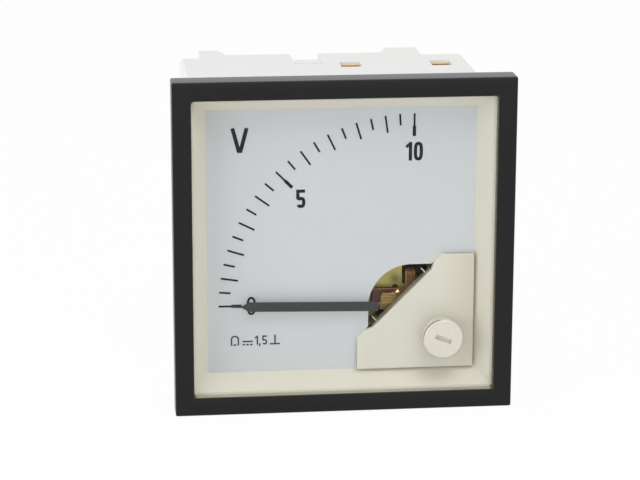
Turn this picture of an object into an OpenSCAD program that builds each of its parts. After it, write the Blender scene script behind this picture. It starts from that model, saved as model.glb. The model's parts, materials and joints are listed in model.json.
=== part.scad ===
// Square panel voltmeter: moving-coil instrument with a 90 degree scale.
// Millimetres. +Z is up and the face looks along -Y. The origin is the centre
// of the bezel's rear face, which seats on the front of the panel.

/* [Bezel] */
// Width and height of the bezel
bezel_size = 72; // [70:0.5:80]
// Depth of the bezel in front of the panel
bezel_depth = 5.5; // [5.2:0.1:7]
// Width of the visible rim
rim_width = 4; // [3.6:0.1:5]
// Thickness of the rim's front web
bezel_web = 2; // [1.8:0.1:2.4]
// Thickness of the bezel's outer wall
bezel_wall = 1.5; // [1:0.1:2]
// Bevel round the front edge
bezel_bevel = 0.5; // [0.2:0.05:0.9]
// Radius of the bezel's corners
bezel_corner = 0.4; // [0.3:0.1:2]
// Length of each snap bead that holds the bezel
snap_length = 14; // [6:1:24]
// Height of each snap bead
snap_height = 0.4; // [0.2:0.05:0.5]

/* [Window] */
// Thickness of the clear window
window_thickness = 1.5; // [1.2:0.1:1.6]

/* [Case] */
// How far the bezel reaches past each side of the case
panel_overlap = 4; // [3.6:0.1:4.4]
// Depth of the case from the panel face to its back
body_depth = 45.5; // [44:0.5:70]
// Thickness of the case's side walls
case_wall = 2; // [1.6:0.1:2.2]
// Thickness of the case's back wall
back_wall = 2.5; // [2:0.1:4]
// Radius of the case's long edges
case_corner = 1; // [0.5:0.1:2]
// Gap between the flange's rear and the panel face
flange_inset = 0.2; // [0.1:0.05:0.5]
// How far the back steps forward at both sides
side_step = 3.5; // [2:0.1:6]
// How far the two guard ribs stand out of the back
rib_height = 5.7; // [3:0.1:9]
// Middle of the back's pattern, left of the case's middle
back_middle = -3.7; // [-5:0.1:-2]
// Half of the clear width between the guard ribs
guard_half = 17.7; // [15:0.1:19]
// Slope at the foot of each guard rib
rib_slope = 1.4; // [0.5:0.1:2]
// Width of the left guard rib
left_rib = 4.5; // [3:0.1:5]
// Width of the right guard rib
right_rib = 7.2; // [4:0.1:9]

/* [Clamp seats] */
// Width of the notch in the rear edge
notch_width = 6.4; // [4.5:0.1:9]
// Length of the notch along the case
notch_length = 7.1; // [5:0.1:9]
// Depth of the notch below the top face
notch_depth = 6; // [4.5:0.1:8]
// Width of each clamp pocket
pocket_width = 4.6; // [3:0.1:6]
// Length of each clamp pocket along the case
pocket_length = 5.6; // [3:0.1:8]
// Depth of each clamp pocket
pocket_depth = 2.4; // [1:0.1:3]
// Distance of the pockets' front edge behind the panel face
pocket_y = 29.4; // [26:0.1:32]
// Middles of the two pockets
pocket_x = [5.4, 25.6];
// Wall left round the notch and the pockets
seat_wall = 1.6; // [1:0.1:2]
// Depth of the shallow groove in front of the notch
groove_depth = 0.8; // [0.4:0.1:1.2]
// Width of that groove
groove_width = 1.1; // [0.6:0.1:2]
// Distance of that groove in front of the notch
groove_gap = 3.8; // [2:0.1:6]

/* [Dial] */
// Depth of the dial's face behind the bezel's front face
dial_depth = 6.7; // [6.4:0.1:7]
// Thickness of the dial plate
dial_thickness = 0.6; // [0.5:0.05:1]
// Width of the surround's slope in front view
slope_width = 2.75; // [2:0.05:4]
// Flat land round the slope, where the window rests
window_land = 0.6; // [0.3:0.05:1]
// How far the surround's lip reaches behind the rim
lip_reach = 0.8; // [0.4:0.05:1]
// Thickness of the surround's lip
lip_thickness = 2.7; // [2:0.1:3]
// Least wall between the lip's step and the case's side
mouth_wall = 1.3; // [1:0.05:1.4]

/* [Scale] */
// Distance of the pivot from the visible dial's right edge
pivot_from_right = 13.4; // [13.2:0.05:13.8]
// Distance of the pivot above the visible dial's bottom edge
pivot_from_bottom = 14.3; // [14:0.05:14.8]
// Gap between the first mark's outer end and the visible dial's left edge
scale_margin = 2.4; // [2:0.1:6]
// Shift of the printed scale's centre from the pivot, across and up
scale_shift = [-0.05, 0.15];
// Number of scale divisions
scale_steps = 20; // [10:2:40]
// Angle of the first mark above the horizontal
scale_start = 0.45; // [0:0.05:2]
// Angle from the first mark to the last
scale_sweep = 89.7; // [80:0.1:90]
// Greatest shift of the marks from even spacing, in degrees
scale_wave = 0.67; // [0:0.01:1]
// Length of the shortest marks
short_mark = 2.45; // [1:0.05:4]
// Length of the whole-number marks
long_mark = 3.7; // [2:0.05:5]
// Length of the numbered marks
main_mark = 4.9; // [3:0.05:7]
// Length of the broad inner part of the numbered marks
broad_part = 2.2; // [1:0.05:3]
// Width of the marks
mark_width = 0.4; // [0.2:0.01:0.5]
// Width of the broad part
broad_width = 0.7; // [0.5:0.05:1.2]
// Height of the printed ink
ink_height = 0.05; // [0.03:0.01:0.1]

/* [Dial opening] */
// Radius of the opening for the movement
opening_radius = 9.2; // [9:0.05:9.6]
// Shift of the opening's centre from the pivot, across and up
opening_shift = [-0.25, -0.5];
// Length of the straight side after the arc
opening_side = 4.4; // [3:0.1:5]
// Size of the 45 degree jog after the straight side
opening_jog = 2.1; // [1.5:0.05:2.3]

/* [Corner cover] */
// Width and height of the corner cover
cover_size = 25.1; // [24.6:0.1:26]
// Height of its front face above the dial
cover_rise = 1.3; // [0.9:0.05:1.6]
// Thickness of its front wall
cover_wall = 1; // [0.7:0.05:1.1]
// Length of the straight side before the chamfer
cover_side = 7; // [6.5:0.1:7.5]
// Chamfer after the straight side
cover_chamfer = 1.4; // [1:0.05:1.8]
// Run of the step between the chamfer and the long diagonal
cover_step = 1.9; // [1.5:0.05:2.2]
// Rise of that step
cover_step_rise = 0.8; // [0.5:0.05:1]
// Depth of the diagonal wall behind the dial's face
cover_drop = 1.9; // [1:0.05:1.95]
// Thickness of the diagonal wall
cover_flange = 0.5; // [0.3:0.05:0.6]
// Thickness of the tongues that the surround clamps
tongue = 0.5; // [0.3:0.05:0.55]

/* [Zero adjuster] */
// Distance of the adjuster's axis from the pivot
adjuster_distance = 8.56; // [8:0.02:9]
// Radius of the adjuster's head
knob_radius = 4.25; // [3:0.05:4.5]
// Gap between the head and the window's hole
knob_gap = 0.3; // [0.2:0.05:0.4]
// Height of the head above the window
knob_proud = 0.5; // [0.1:0.05:1.5]
// Length of the head
knob_length = 2.8; // [2:0.1:3.4]
// Radius of the adjuster's stem
stem_radius = 1.5; // [1.2:0.05:1.8]
// Length of the screwdriver slot
slot_length = 3.6; // [2:0.1:5]
// Width of the screwdriver slot
slot_width = 1; // [0.4:0.05:1.2]
// Depth of the screwdriver slot
slot_depth = 0.7; // [0.3:0.05:1]
// Turn of the slot from the horizontal at rest
slot_angle = -22; // [-60:1:60]
// Eccentricity of the adjuster's pin
pin_throw = 1; // [0.8:0.05:1]
// Radius of the adjuster's pin
pin_radius = 0.45; // [0.3:0.05:0.5]
// Outer radius of the push-on ring
ring_radius = 2.6; // [2:0.1:3]
// Thickness of the push-on ring
ring_thickness = 0.3; // [0.2:0.05:0.35]

/* [Moving coil] */
// Distance from the dial's rear face to the front of the coil
coil_depth = 3.1; // [3:0.05:3.4]
// Inner half width of the coil former
coil_inner = 5.9; // [5.8:0.05:6]
// Inner length of the coil former along the axis
coil_length = 12.6; // [12.4:0.1:12.8]
// Thickness of the coil former
former_thickness = 0.3; // [0.2:0.02:0.35]
// Width of the coil former
former_width = 2; // [1.6:0.05:2.2]
// Thickness of the former's side flanges
former_flange = 0.2; // [0.15:0.01:0.25]
// Thickness of the copper winding
winding_thickness = 0.9; // [0.6:0.02:0.95]
// Radius of the pivot staffs
staff_radius = 0.4; // [0.3:0.02:0.45]
// Radius of the staffs' feet on the coil
foot_radius = 1.6; // [1:0.05:1.8]
// Radius of the hairspring collets
collet_radius = 0.9; // [0.7:0.02:1]

/* [Pointer] */
// Height of the pointer's middle above the dial
pointer_gap = 2.1; // [1.9:0.05:2.4]
// Thickness of the pointer
pointer_thickness = 0.2; // [0.15:0.01:0.3]
// Width of the pointer's bar
pointer_width = 2.1; // [1:0.05:2.2]
// Distance of the bar's inner end from the pivot
pointer_foot = 7.6; // [7.2:0.02:7.7]
// Length of the taper and the fine tip beyond the bar
needle_length = 3.7; // [2.5:0.1:8]
// Length of the taper at the bar's outer end
pointer_taper = 1.5; // [1:0.1:4]
// Distance of the tip inside the outer ends of the marks
tip_gap = 2.6; // [1:0.1:5]
// Width of the fine tip
tip_width = 0.42; // [0.2:0.02:0.6]
// Angle of the pointer above the horizontal at rest
pointer_rest = 1.3; // [0:0.05:2]
// Width of the brass arm
arm_width = 4.2; // [3:0.1:4.4]
// Thickness of the brass arm
arm_thickness = 0.3; // [0.2:0.02:0.35]
// Length of the arm's tail
tail_length = 5.2; // [4.5:0.1:5.6]
// Inner radius of the balance weight
weight_inner = 4.8; // [4:0.05:5.4]
// Outer radius of the balance weight
weight_outer = 7.3; // [6.6:0.05:7.4]
// Half angle that the balance weight spans
weight_half_angle = 38; // [20:1:42]
// Width of the insulating carrier plate
carrier_width = 4.8; // [3.4:0.1:5]
// Thickness of the carrier plate
carrier_thickness = 0.2; // [0.1:0.02:0.22]
// Thickness of the balance weight
weight_thickness = 0.7; // [0.4:0.02:0.8]

/* [Hairsprings] */
// Turns of each hairspring
spring_turns = 4.5; // [3:0.5:6]
// Outer radius of the front hairspring
front_spring_radius = 3; // [2.6:0.05:3.1]
// Outer radius of the rear hairspring
rear_spring_radius = 5; // [4:0.05:5.6]
// Thickness of the spring ribbon
ribbon_thickness = 0.12; // [0.08:0.01:0.2]
// Height of the spring ribbon
ribbon_height = 0.4; // [0.3:0.02:0.42]

/* [Magnet system] */
// Radius of the core magnet
core_radius = 5.4; // [5:0.05:5.5]
// Length of the core magnet and the yoke
core_length = 11; // [10.8:0.1:11.1]
// Outer radius of the yoke
yoke_outer = 12.5; // [12:0.1:12.8]
// Gap between the winding and the yoke
yoke_gap = 0.75; // [0.6:0.05:0.85]
// Thickness of the core bracket
bracket_thickness = 0.8; // [0.6:0.05:0.85]
// Edges of the core bracket's two lobes, beside and above the pivot
bracket_edge = [1.5, 2.2];
// Radius of the round notch in the bracket's edge
notch_radius = 0.7; // [0.4:0.05:0.8]
// Distance of that notch beside the pivot
notch_offset = 3; // [2.8:0.05:3.2]

/* [Movement supports] */
// Thickness of the bearing bridges
bridge_thickness = 0.8; // [0.6:0.05:0.9]
// Radius of the bridges' noses
nose_radius = 1.55; // [1.4:0.05:1.6]
// Thickness of the zero lever
lever_thickness = 0.3; // [0.2:0.02:0.35]
// Width of the front frame's wall
frame_wall = 5; // [4.6:0.1:5.2]
// Inner radius of the front frame
frame_inner = 7.8; // [7.7:0.05:7.9]
// Angles between which the front frame is open
frame_open = [62, 207];
// Width and height of the movement base
base_size = 27; // [26.5:0.1:27.5]
// Thickness of the movement base
base_thickness = 3.6; // [3.3:0.1:3.9]
// Radius of the base's middle hole
base_hole = 8; // [7.8:0.05:8.2]
// Distance of the movement's screws from the pivot
screw_circle = 10.2; // [10:0.05:10.4]
// Radius of the movement's screws
screw_radius = 1; // [0.8:0.05:1.1]
// Distance of the base's corner screws from its edges
corner_margin = 2.3; // [2.1:0.05:2.5]
// Radius of the case's posts
post_radius = 2.6; // [2.2:0.05:2.8]

/* [Terminals] */
// Half of the distance between the terminal studs
stud_half_pitch = 9; // [8:0.1:11]
// Height of the studs above the case's middle
stud_z = 8; // [6:0.5:14]
// Radius of the terminal studs
stud_radius = 2; // [1.5:0.05:2]
// Width across the flats of the nuts
nut_flats = 7; // [7:0.1:8]
// Thickness of the nuts
nut_thickness = 3.2; // [2.4:0.1:3.6]
// Radius of the washers
washer_radius = 4.5; // [4:0.1:5]
// Thickness of the washers
washer_thickness = 0.8; // [0.5:0.05:1]
// Free length of each stud beyond its nuts
stud_free = 4; // [2:0.1:8]
// Radius of the studs' plain ends, where the nuts start
stud_point = 1.6; // [1.2:0.05:1.65]
// Thickness of the solder tags
tag_thickness = 0.5; // [0.3:0.05:0.6]
// Length of the series resistor's body
resistor_length = 11; // [8:0.5:14]
// Radius of the series resistor's body
resistor_radius = 2; // [1.5:0.1:2.6]
// Radius of the lead wires over their insulation
wire_radius = 0.55; // [0.4:0.05:0.7]

/* [Hidden] */
$fn = 64;

eps = 0.01;                     // overlap of a cutter past a face
slip = 0.1;                     // clearance of pieces that slide together
run = 0.05;                     // radial clearance of a turning fit
thread_gap = 0.02;              // radial gap between a screw and its thread
beyond = 200;                   // longer than anything in the part

// Front part: planes across the Y axis
web_back = bezel_web - bezel_depth;
window_front = web_back - window_thickness;
dial_front = dial_depth - bezel_depth;
dial_back = dial_front + dial_thickness;
opening_half = bezel_size / 2 - rim_width;
land_half = opening_half - window_land;
visible_half = land_half - slope_width;
lip_half = opening_half + lip_reach;
step_y = web_back + lip_thickness;
flange_half = bezel_size / 2 - bezel_wall - slip;
body_half = bezel_size / 2 - panel_overlap;
mouth_half = body_half - mouth_wall;
insert_half = mouth_half - slip;
dial_half = insert_half - slip;
cavity_half = body_half - case_wall;

// Pivot axis, along Y
pivot_x = visible_half - pivot_from_right;
pivot_z = pivot_from_bottom - visible_half;

// The scale reaches from the pivot to its margin at the dial's left edge
scale_radius = pivot_x + visible_half - scale_margin;
pointer_reach = scale_radius - tip_gap;
pointer_shoulder = pointer_reach - needle_length;

// Movement: planes across the Y axis, counted from the coil's front
coil_front = dial_back + coil_depth;
former_front = coil_front + winding_thickness;
inner_front = former_front + former_thickness;
inner_back = inner_front + coil_length;
former_back = inner_back + former_thickness;
coil_back = former_back + winding_thickness;
coil_run = 0.3;                 // running gap of the coil past fixed pieces
bracket_front = inner_front + coil_run;
core_front = bracket_front + bracket_thickness;
core_back = core_front + core_length;
winding_outer = coil_inner + former_thickness + winding_thickness;
yoke_inner = winding_outer + yoke_gap + 0.05;
base_back = core_back + base_thickness;
corner_offset = base_size / 2 - corner_margin;

// Stack of pieces on each end of the coil, counted outwards from the coil
foot_thickness = 0.25;
collet_start = foot_thickness;
collet_end = collet_start + 0.5;
arm_start = 1.0;
arm_end = arm_start + arm_thickness;
screw_end = 1.7;
bridge_start = 1.9;
bridge_end = bridge_start + bridge_thickness;
tip_height = 2.05;
spring_start = 0.3;

bridge_front = coil_front - bridge_end;
bridge_back = coil_front - bridge_start;
lever_back = bridge_front - 0.2;
lever_front = lever_back - lever_thickness;
cover_front = dial_front - cover_rise;
cover_back = cover_front + cover_wall;
flange_back = dial_front + cover_drop;
frame_front = bridge_back;

// Zero adjuster
adjuster_angle = -46.5;
adjuster_x = pivot_x + adjuster_distance * cos(adjuster_angle);
adjuster_z = pivot_z + adjuster_distance * sin(adjuster_angle);
knob_front = window_front - knob_proud;
stem_end = cover_back + ring_thickness + 0.15;
pin_end = lever_back + 0.15;

// Case back
cavity_back = body_depth - back_wall;
ledge_y = body_depth - side_step;
rib_y = body_depth + rib_height;
left_in = back_middle - guard_half;
left_out = left_in - rib_slope - left_rib;
right_in = back_middle + guard_half;
right_out = right_in + rib_slope + right_rib;

// Terminals
stud_x = [back_middle - stud_half_pitch, back_middle + stud_half_pitch];
tag_back = cavity_back;
tag_front = tag_back - tag_thickness;
head_height = 2.4;
tag_tail = 7;
stud_tip = 0.4;
stud_end = body_depth + 2 * (washer_thickness + nut_thickness) + stud_free;
free_start = stud_end - stud_free;

// A shape drawn as seen from the front, thick from y to y + t
module plate(y, t) {
    translate([0, y + t, 0]) rotate([90, 0, 0]) linear_extrude(t) children();
}

// A solid of revolution about an axis along Y; profile points are [radius, y]
module turned(profile) {
    rotate([-90, 0, 0]) rotate_extrude() polygon(profile);
}

module disc_y(r, y, t) {
    translate([0, y, 0]) rotate([-90, 0, 0]) cylinder(r = r, h = t);
}

module square_about(half) {
    square(2 * half, center = true);
}

module rounded_square(half, r) {
    square([2 * half, 2 * (half - r)], center = true);
    square([2 * (half - r), 2 * half], center = true);
    for (sx = [-1, 1], sz = [-1, 1])
        translate([sx * (half - r), sz * (half - r)]) circle(r);
}

module at_pivot() {
    translate([pivot_x, 0, pivot_z]) children();
}

// A place on the front view at a distance and an angle from the pivot
module at_polar(distance, angle) {
    translate([distance * cos(angle), 0, distance * sin(angle)]) children();
}

// A sector of a disc between two angles, drawn as seen from the front
module sector(r, from, to) {
    steps = ceil((to - from) / 30);
    reach = r / cos((to - from) / steps / 2) + eps;
    intersection() {
        circle(r);
        polygon(concat([[0, 0]], [for (i = [0:steps])
            let (a = from + (to - from) * i / steps) reach * [cos(a), sin(a)]]));
    }
}

// A pyramid's frustum about Y: half width h0 at y0 and h1 at y1
module tapered_square(h0, y0, h1, y1) {
    side = [[-h0, y0], [h0, y0], [h1, y1], [-h1, y1]];
    intersection() {
        translate([0, 0, -beyond]) linear_extrude(2 * beyond) polygon(side);
        rotate([0, -90, 0]) translate([0, 0, -beyond]) linear_extrude(2 * beyond) polygon(side);
    }
}

// The four snap beads or their grooves, at a distance from the middle
module snap_ring(half, r, y) {
    for (a = [0:90:270])
        rotate([0, a, 0]) translate([half, y, 0])
            cylinder(r = r, h = snap_length, center = true);
}

// ---- Front parts ----

snap_y = (web_back - flange_inset) / 2;

module bezel() {
    color([0.13, 0.13, 0.14]) difference() {
        union() {
            plate(bezel_bevel - bezel_depth, bezel_depth - bezel_bevel)
                rounded_square(bezel_size / 2, bezel_corner);
            intersection() {
                plate(-bezel_depth, bezel_bevel + eps) rounded_square(bezel_size / 2, bezel_corner);
                tapered_square(bezel_size / 2 - bezel_bevel, -bezel_depth,
                    bezel_size / 2 + eps, bezel_bevel - bezel_depth + eps);
            }
        }
        plate(-bezel_depth - eps, bezel_depth + 1) square_about(opening_half);
        plate(web_back, bezel_depth) square_about(bezel_size / 2 - bezel_wall);
        snap_ring(flange_half, snap_height + slip, snap_y);
    }
}

module window() {
    color([0.85, 0.9, 0.9, 0.3]) difference() {
        plate(window_front, window_thickness) square_about(opening_half - slip);
        translate([adjuster_x, 0, adjuster_z])
            disc_y(knob_radius + knob_gap, window_front - 1, window_thickness + 2);
    }
}

// Plan of the case behind the panel, with the stepped back and its ribs
module case_plan() {
    r = case_corner;
    difference() {
        polygon([[-body_half, -flange_inset - 1], [-body_half, ledge_y], [left_out, ledge_y],
            [left_out, rib_y], [left_in - rib_slope, rib_y], [left_in, body_depth],
            [right_in, body_depth], [right_in + rib_slope, rib_y], [right_out, rib_y],
            [right_out, ledge_y], [body_half, ledge_y], [body_half, -flange_inset - 1]]);
        for (s = [-1, 1]) translate([s * (body_half - r), ledge_y - r]) difference() {
            translate([s > 0 ? 0 : -r - 1, 0]) square([r + 1, r + 1]);
            circle(r);
        }
    }
}

// Plan of the cavity, one wall inside the case's plan
module cavity_plan() {
    shallow = ledge_y - back_wall;
    polygon([[-cavity_half, dial_back], [-cavity_half, shallow],
        [left_out + case_wall, shallow], [left_out + case_wall, cavity_back],
        [right_out - case_wall, cavity_back], [right_out - case_wall, shallow],
        [cavity_half, shallow], [cavity_half, dial_back]]);
}

notch_y = body_depth - notch_length;

// The notch, pockets and groove in the top face; grow adds a wall round them
module clamp_seats(grow) {
    top = body_half + (grow > 0 ? 0 : 1);
    translate([back_middle - notch_width / 2 - grow, notch_y - grow, body_half - notch_depth - grow])
        cube([notch_width + 2 * grow, rib_y + 1 - notch_y, top - body_half + notch_depth + grow]);
    for (x = pocket_x)
        translate([x - pocket_width / 2 - grow, pocket_y - grow, body_half - pocket_depth - grow])
            cube([pocket_width + 2 * grow, pocket_length + 2 * grow,
                top - body_half + pocket_depth + grow]);
    translate([back_middle - notch_width / 2, notch_y - groove_gap - groove_width,
        body_half - groove_depth])
        cube([notch_width, groove_width, 1 + groove_depth]);
}

module for_corners() {
    for (sx = [-1, 1], sz = [-1, 1])
        at_pivot() translate([sx * corner_offset, 0, sz * corner_offset]) children();
}

post_bore = 1.1;
post_depth = 9;
base_head = 2;
base_head_height = 1.2;

module case() {
    color([0.92, 0.915, 0.9]) difference() {
        union() {
            intersection() {
                translate([0, 0, -body_half]) linear_extrude(2 * body_half) case_plan();
                plate(-flange_inset - 2, beyond) rounded_square(body_half, case_corner);
            }
            plate(web_back, -web_back - flange_inset) square_about(flange_half);
            snap_ring(flange_half, snap_height, snap_y);
        }
        difference() {
            translate([0, 0, -cavity_half]) linear_extrude(2 * cavity_half) cavity_plan();
            clamp_seats(seat_wall);
            mirror([0, 0, 1]) clamp_seats(seat_wall);
            for_corners() disc_y(post_radius, base_back, body_depth - base_back - 1);
        }
        plate(web_back - eps, lip_thickness + eps) square_about(lip_half + slip);
        plate(step_y - eps, dial_back - step_y + 2 * eps) square_about(mouth_half);
        clamp_seats(0);
        mirror([0, 0, 1]) clamp_seats(0);
        for_corners() disc_y(post_bore, base_back - eps, post_depth);
        for (x = stud_x)
            translate([x, 0, stud_z]) disc_y(stud_radius + slip, cavity_back - 1, back_wall + 2);
    }
}

module dial_surround() {
    color([0.85, 0.83, 0.76]) difference() {
        union() {
            plate(web_back, lip_thickness - slip) square_about(lip_half);
            plate(web_back, dial_front - web_back) square_about(insert_half);
        }
        tapered_square(land_half, web_back, visible_half, dial_front);
        plate(web_back - 1, 1 + eps) square_about(land_half);
        plate(dial_front - eps, 1) square_about(visible_half);
    }
}

// ---- Dial ----

// Opening for the movement and the cover's corner, about the pivot
module dial_opening() {
    s = opening_side;
    r = opening_radius;
    j = opening_jog;
    translate(opening_shift) {
        circle(r);
        polygon([[-r, 0], [-r, -s], [-r - j, -s - j], [-r - j, -beyond], [beyond, -beyond],
            [beyond, r + j], [s + j, r + j], [s, r], [0, r]]);
    }
}

module dial_plate() {
    color([0.78, 0.8, 0.81]) plate(dial_front, dial_thickness) difference() {
        square_about(dial_half);
        translate([pivot_x, pivot_z]) dial_opening();
    }
}

// Angle of a mark, leftwards horizontal being 0; the spacing swells by a sine
function mark_angle(part) = scale_start + scale_sweep * part - scale_wave * sin(360 * part);

module mark(part, length, width, outer) {
    rotate(-mark_angle(part)) translate([-outer, -width / 2]) square([length, width]);
}

module scale_print() {
    color([0.16, 0.17, 0.18]) plate(dial_front - ink_height, ink_height)
        translate([pivot_x, pivot_z] + scale_shift)
        for (i = [0:scale_steps]) {
            part = i / scale_steps;
            main = i % (scale_steps / 2) == 0;
            mark(part, main ? main_mark : i % 2 == 0 ? long_mark : short_mark, mark_width,
                scale_radius);
            if (main) mark(part, broad_part, broad_width, scale_radius - main_mark + broad_part);
        }
}

// ---- Corner cover ----

// Outline of the cover, from the dial's lower right corner leftwards and up
module cover_outline(side, edge) {
    a = cover_side;
    b = a + cover_chamfer;
    c = b + cover_step_rise;
    u = side - cover_chamfer;
    v = u - cover_step;
    polygon([[edge, -edge], [-side, -edge], [-side, a], [-u, b], [-v, c],
        [-c, v], [-b, u], [-a, side], [edge, side]]);
}

// The strip along the long diagonal, as wide as the flange
module diagonal_strip() {
    c = cover_side + cover_chamfer + cover_step_rise;
    v = cover_size - cover_chamfer - cover_step;
    w = cover_flange * sqrt(2);
    polygon([[-v, c], [-c, v], [-c, v - w], [-v + w, c]]);
}

// Two short ribs out of the diagonal wall, near its ends
module diagonal_ribs() {
    c = cover_side + cover_chamfer + cover_step_rise;
    v = cover_size - cover_chamfer - cover_step;
    half = (v - c) / sqrt(2) - 1.5;
    translate([-(v + c) / 2, (v + c) / 2]) rotate(45) for (s = [-1, 1])
        translate([s * half - rib_width / 2, -0.1]) square([rib_width, rib_reach + 0.1]);
}

// The two walls along the dial's edges, reaching out past the cover's own edges
module corner_wall(reach) {
    end = cover_size - tongue_inset;
    w = cover_skirt;
    polygon([[-end, -reach], [reach, -reach], [reach, end], [-w, end], [-w, w], [-end, w]]);
}

cover_skirt = 0.8;              // thickness of the cover's side walls
tongue_inset = 2.5;             // how far the walls stop short of the cover's ends
bearing_gap = 0.3;              // clearance of the diagonal wall round the bearing
cover_gap = 0.25;               // between the cover's face and the surround
rib_reach = 1.4;
rib_width = 0.25;
cover_corner = visible_half - cover_gap;
boss_radius = stem_radius + 1.1;

module corner_cover() {
    tongue_front = dial_front + (dial_thickness - tongue) / 2;
    color([0.86, 0.85, 0.79]) difference() {
        union() {
            translate([cover_corner, 0, -cover_corner]) {
                plate(cover_front, cover_wall) cover_outline(cover_size, 0);
                plate(cover_front, dial_front - cover_front) difference() {
                    cover_outline(cover_size, 0);
                    translate([cover_skirt, -cover_skirt]) cover_outline(cover_size, 4);
                }
                plate(cover_front, flange_back - cover_front) diagonal_strip();
                plate(dial_front + 0.2, flange_back - dial_front - 0.2) diagonal_ribs();
                // right and bottom walls with the tongues that the surround clamps
                plate(cover_front, tongue_front + tongue - cover_front) corner_wall(0);
                plate(tongue_front, tongue) corner_wall(insert_half - cover_corner - slip);
            }
        }
        translate([adjuster_x, 0, adjuster_z])
            disc_y(stem_radius + run, cover_front - 1, cover_wall + 2);
        at_pivot() disc_y(nose_radius + bearing_gap, cover_back, flange_back - cover_back + 1);
    }
}

// ---- Zero adjuster ----

module zero_adjuster() {
    head_back = knob_front + knob_length;
    color([0.88, 0.87, 0.83]) translate([adjuster_x, 0, adjuster_z]) difference() {
        union() {
            turned([[0, knob_front], [knob_radius - 0.25, knob_front],
                [knob_radius, knob_front + 0.25], [knob_radius, head_back],
                [stem_radius + 0.6, head_back], [stem_radius + 0.6, cover_front - slip],
                [stem_radius, cover_front - slip], [stem_radius, cover_back],
                [stem_radius - 0.3, cover_back], [stem_radius - 0.3, stem_end], [0, stem_end]]);
            rotate([0, -adjuster_angle, 0]) translate([-pin_throw, 0, 0])
                disc_y(pin_radius, stem_end - eps, pin_end - stem_end + eps);
        }
        rotate([0, -slot_angle, 0]) translate([-slot_length / 2, knob_front - 1, -slot_width / 2])
            cube([slot_length, slot_depth + 1, slot_width]);
    }
}

module adjuster_ring() {
    color([0.6, 0.6, 0.62]) translate([adjuster_x, 0, adjuster_z])
        turned([[stem_radius - 0.3 + thread_gap, cover_back + 0.05], [ring_radius, cover_back + 0.05],
            [ring_radius, cover_back + 0.05 + ring_thickness],
            [stem_radius - 0.3 + thread_gap, cover_back + 0.05 + ring_thickness]]);
}

tab_angle = 32;
tab_width = 0.8;
jewel_screw_radius = 0.8;
lever_end = adjuster_distance + 1;

module zero_lever() {
    spring_back = coil_front - spring_start;
    color([0.72, 0.6, 0.32]) at_pivot() difference() {
        union() {
            disc_y(nose_radius, lever_front, lever_thickness);
            rotate([0, -adjuster_angle, 0]) translate([0, lever_front, 0]) {
                translate([0, 0, -0.8]) cube([adjuster_distance - 2.4, lever_thickness, 1.6]);
                translate([adjuster_distance - 2.6, 0, -1.3])
                    cube([lever_end - adjuster_distance + 2.6, lever_thickness, 2.6]);
            }
            rotate([0, -tab_angle, 0]) translate([0, lever_front, -tab_width / 2]) {
                cube([front_spring_radius + 0.3, lever_thickness, tab_width]);
                translate([front_spring_radius + ribbon_thickness / 2, 0, 0])
                    cube([0.3 - ribbon_thickness / 2, spring_back - 0.1 - lever_front, tab_width]);
            }
        }
        disc_y(jewel_screw_radius + run, lever_front - 1, lever_thickness + 2);
        rotate([0, -adjuster_angle, 0])
            translate([adjuster_distance - pin_throw - 1, lever_front - 1, -pin_radius - run])
            cube([lever_end, lever_thickness + 2, 2 * (pin_radius + run)]);
    }
}

// ---- Bearings ----

jewel_radius = 0.45;
jewel_length = 0.7;
cup_radius = 0.33;
cup_depth = 0.4;
bridge_screw_angles = [-15, -75];
rear_screw_angles = [0, 180];
screw_head = 1.8;
screw_head_height = 0.9;

// A straight bar in front view from the pivot to a place at a distance and angle
module bar_to(distance, angle, width) {
    rotate(angle) translate([0, -width / 2]) square([distance, width]);
    rotate(angle) translate([distance, 0]) circle(width / 2);
}

module front_bridge() {
    color([0.72, 0.6, 0.32]) at_pivot() difference() {
        plate(bridge_front, bridge_thickness) {
            circle(nose_radius);
            for (a = bridge_screw_angles) bar_to(screw_circle, a, 3.2);
            sector(screw_circle + 1.6, bridge_screw_angles[1], bridge_screw_angles[0]);
        }
        disc_y(jewel_screw_radius + thread_gap, bridge_front - 1, bridge_thickness + 2);
        for (a = bridge_screw_angles) at_polar(screw_circle, a)
            disc_y(screw_radius + slip, bridge_front - 1, bridge_thickness + 2);
    }
}

// A cheese-head screw: head from y to y + head_height towards +Y, then its shank
module cheese_screw(y, shank) {
    difference() {
        union() {
            disc_y(screw_head, y, screw_head_height);
            disc_y(screw_radius, y + screw_head_height - eps, shank + eps);
        }
        translate([-screw_head - 1, y - 1, -0.2]) cube([2 * screw_head + 2, 1.4, 0.4]);
    }
}

bridge_screw_shank = 2.6;
head_squash = 0.7;              // bridge screws have low heads, to clear the cover

module bridge_screws() {
    color([0.62, 0.62, 0.6]) at_pivot() for (a = bridge_screw_angles) at_polar(screw_circle, a)
        difference() {
            union() {
                disc_y(screw_head, bridge_front - head_squash, head_squash);
                disc_y(screw_radius, bridge_front - eps, bridge_thickness + bridge_screw_shank);
            }
            translate([-screw_head - 1, bridge_front - head_squash - 1, -0.2])
                cube([2 * screw_head + 2, 1.3, 0.4]);
        }
}

// Jewel screw profile: heights h count outwards from the coil, mapped to y
module jewel_screw(face, way, length, head) {
    function y(h) = face + way * h;
    end = screw_end + length;
    profile = [[jewel_radius + thread_gap, y(screw_end)],
        [jewel_screw_radius, y(screw_end)],
        [jewel_screw_radius, y(end)],
        [head, y(end)], [head, y(end + 0.3)], [0, y(end + 0.3)],
        [0, y(screw_end + jewel_length)], [jewel_radius + thread_gap, y(screw_end + jewel_length)]];
    slot_a = min(y(end + 0.15), y(end + 1));
    difference() {
        turned(profile);
        translate([-head - 1, slot_a, -0.15]) cube([2 * head + 2, 0.85, 0.3]);
    }
}

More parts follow.
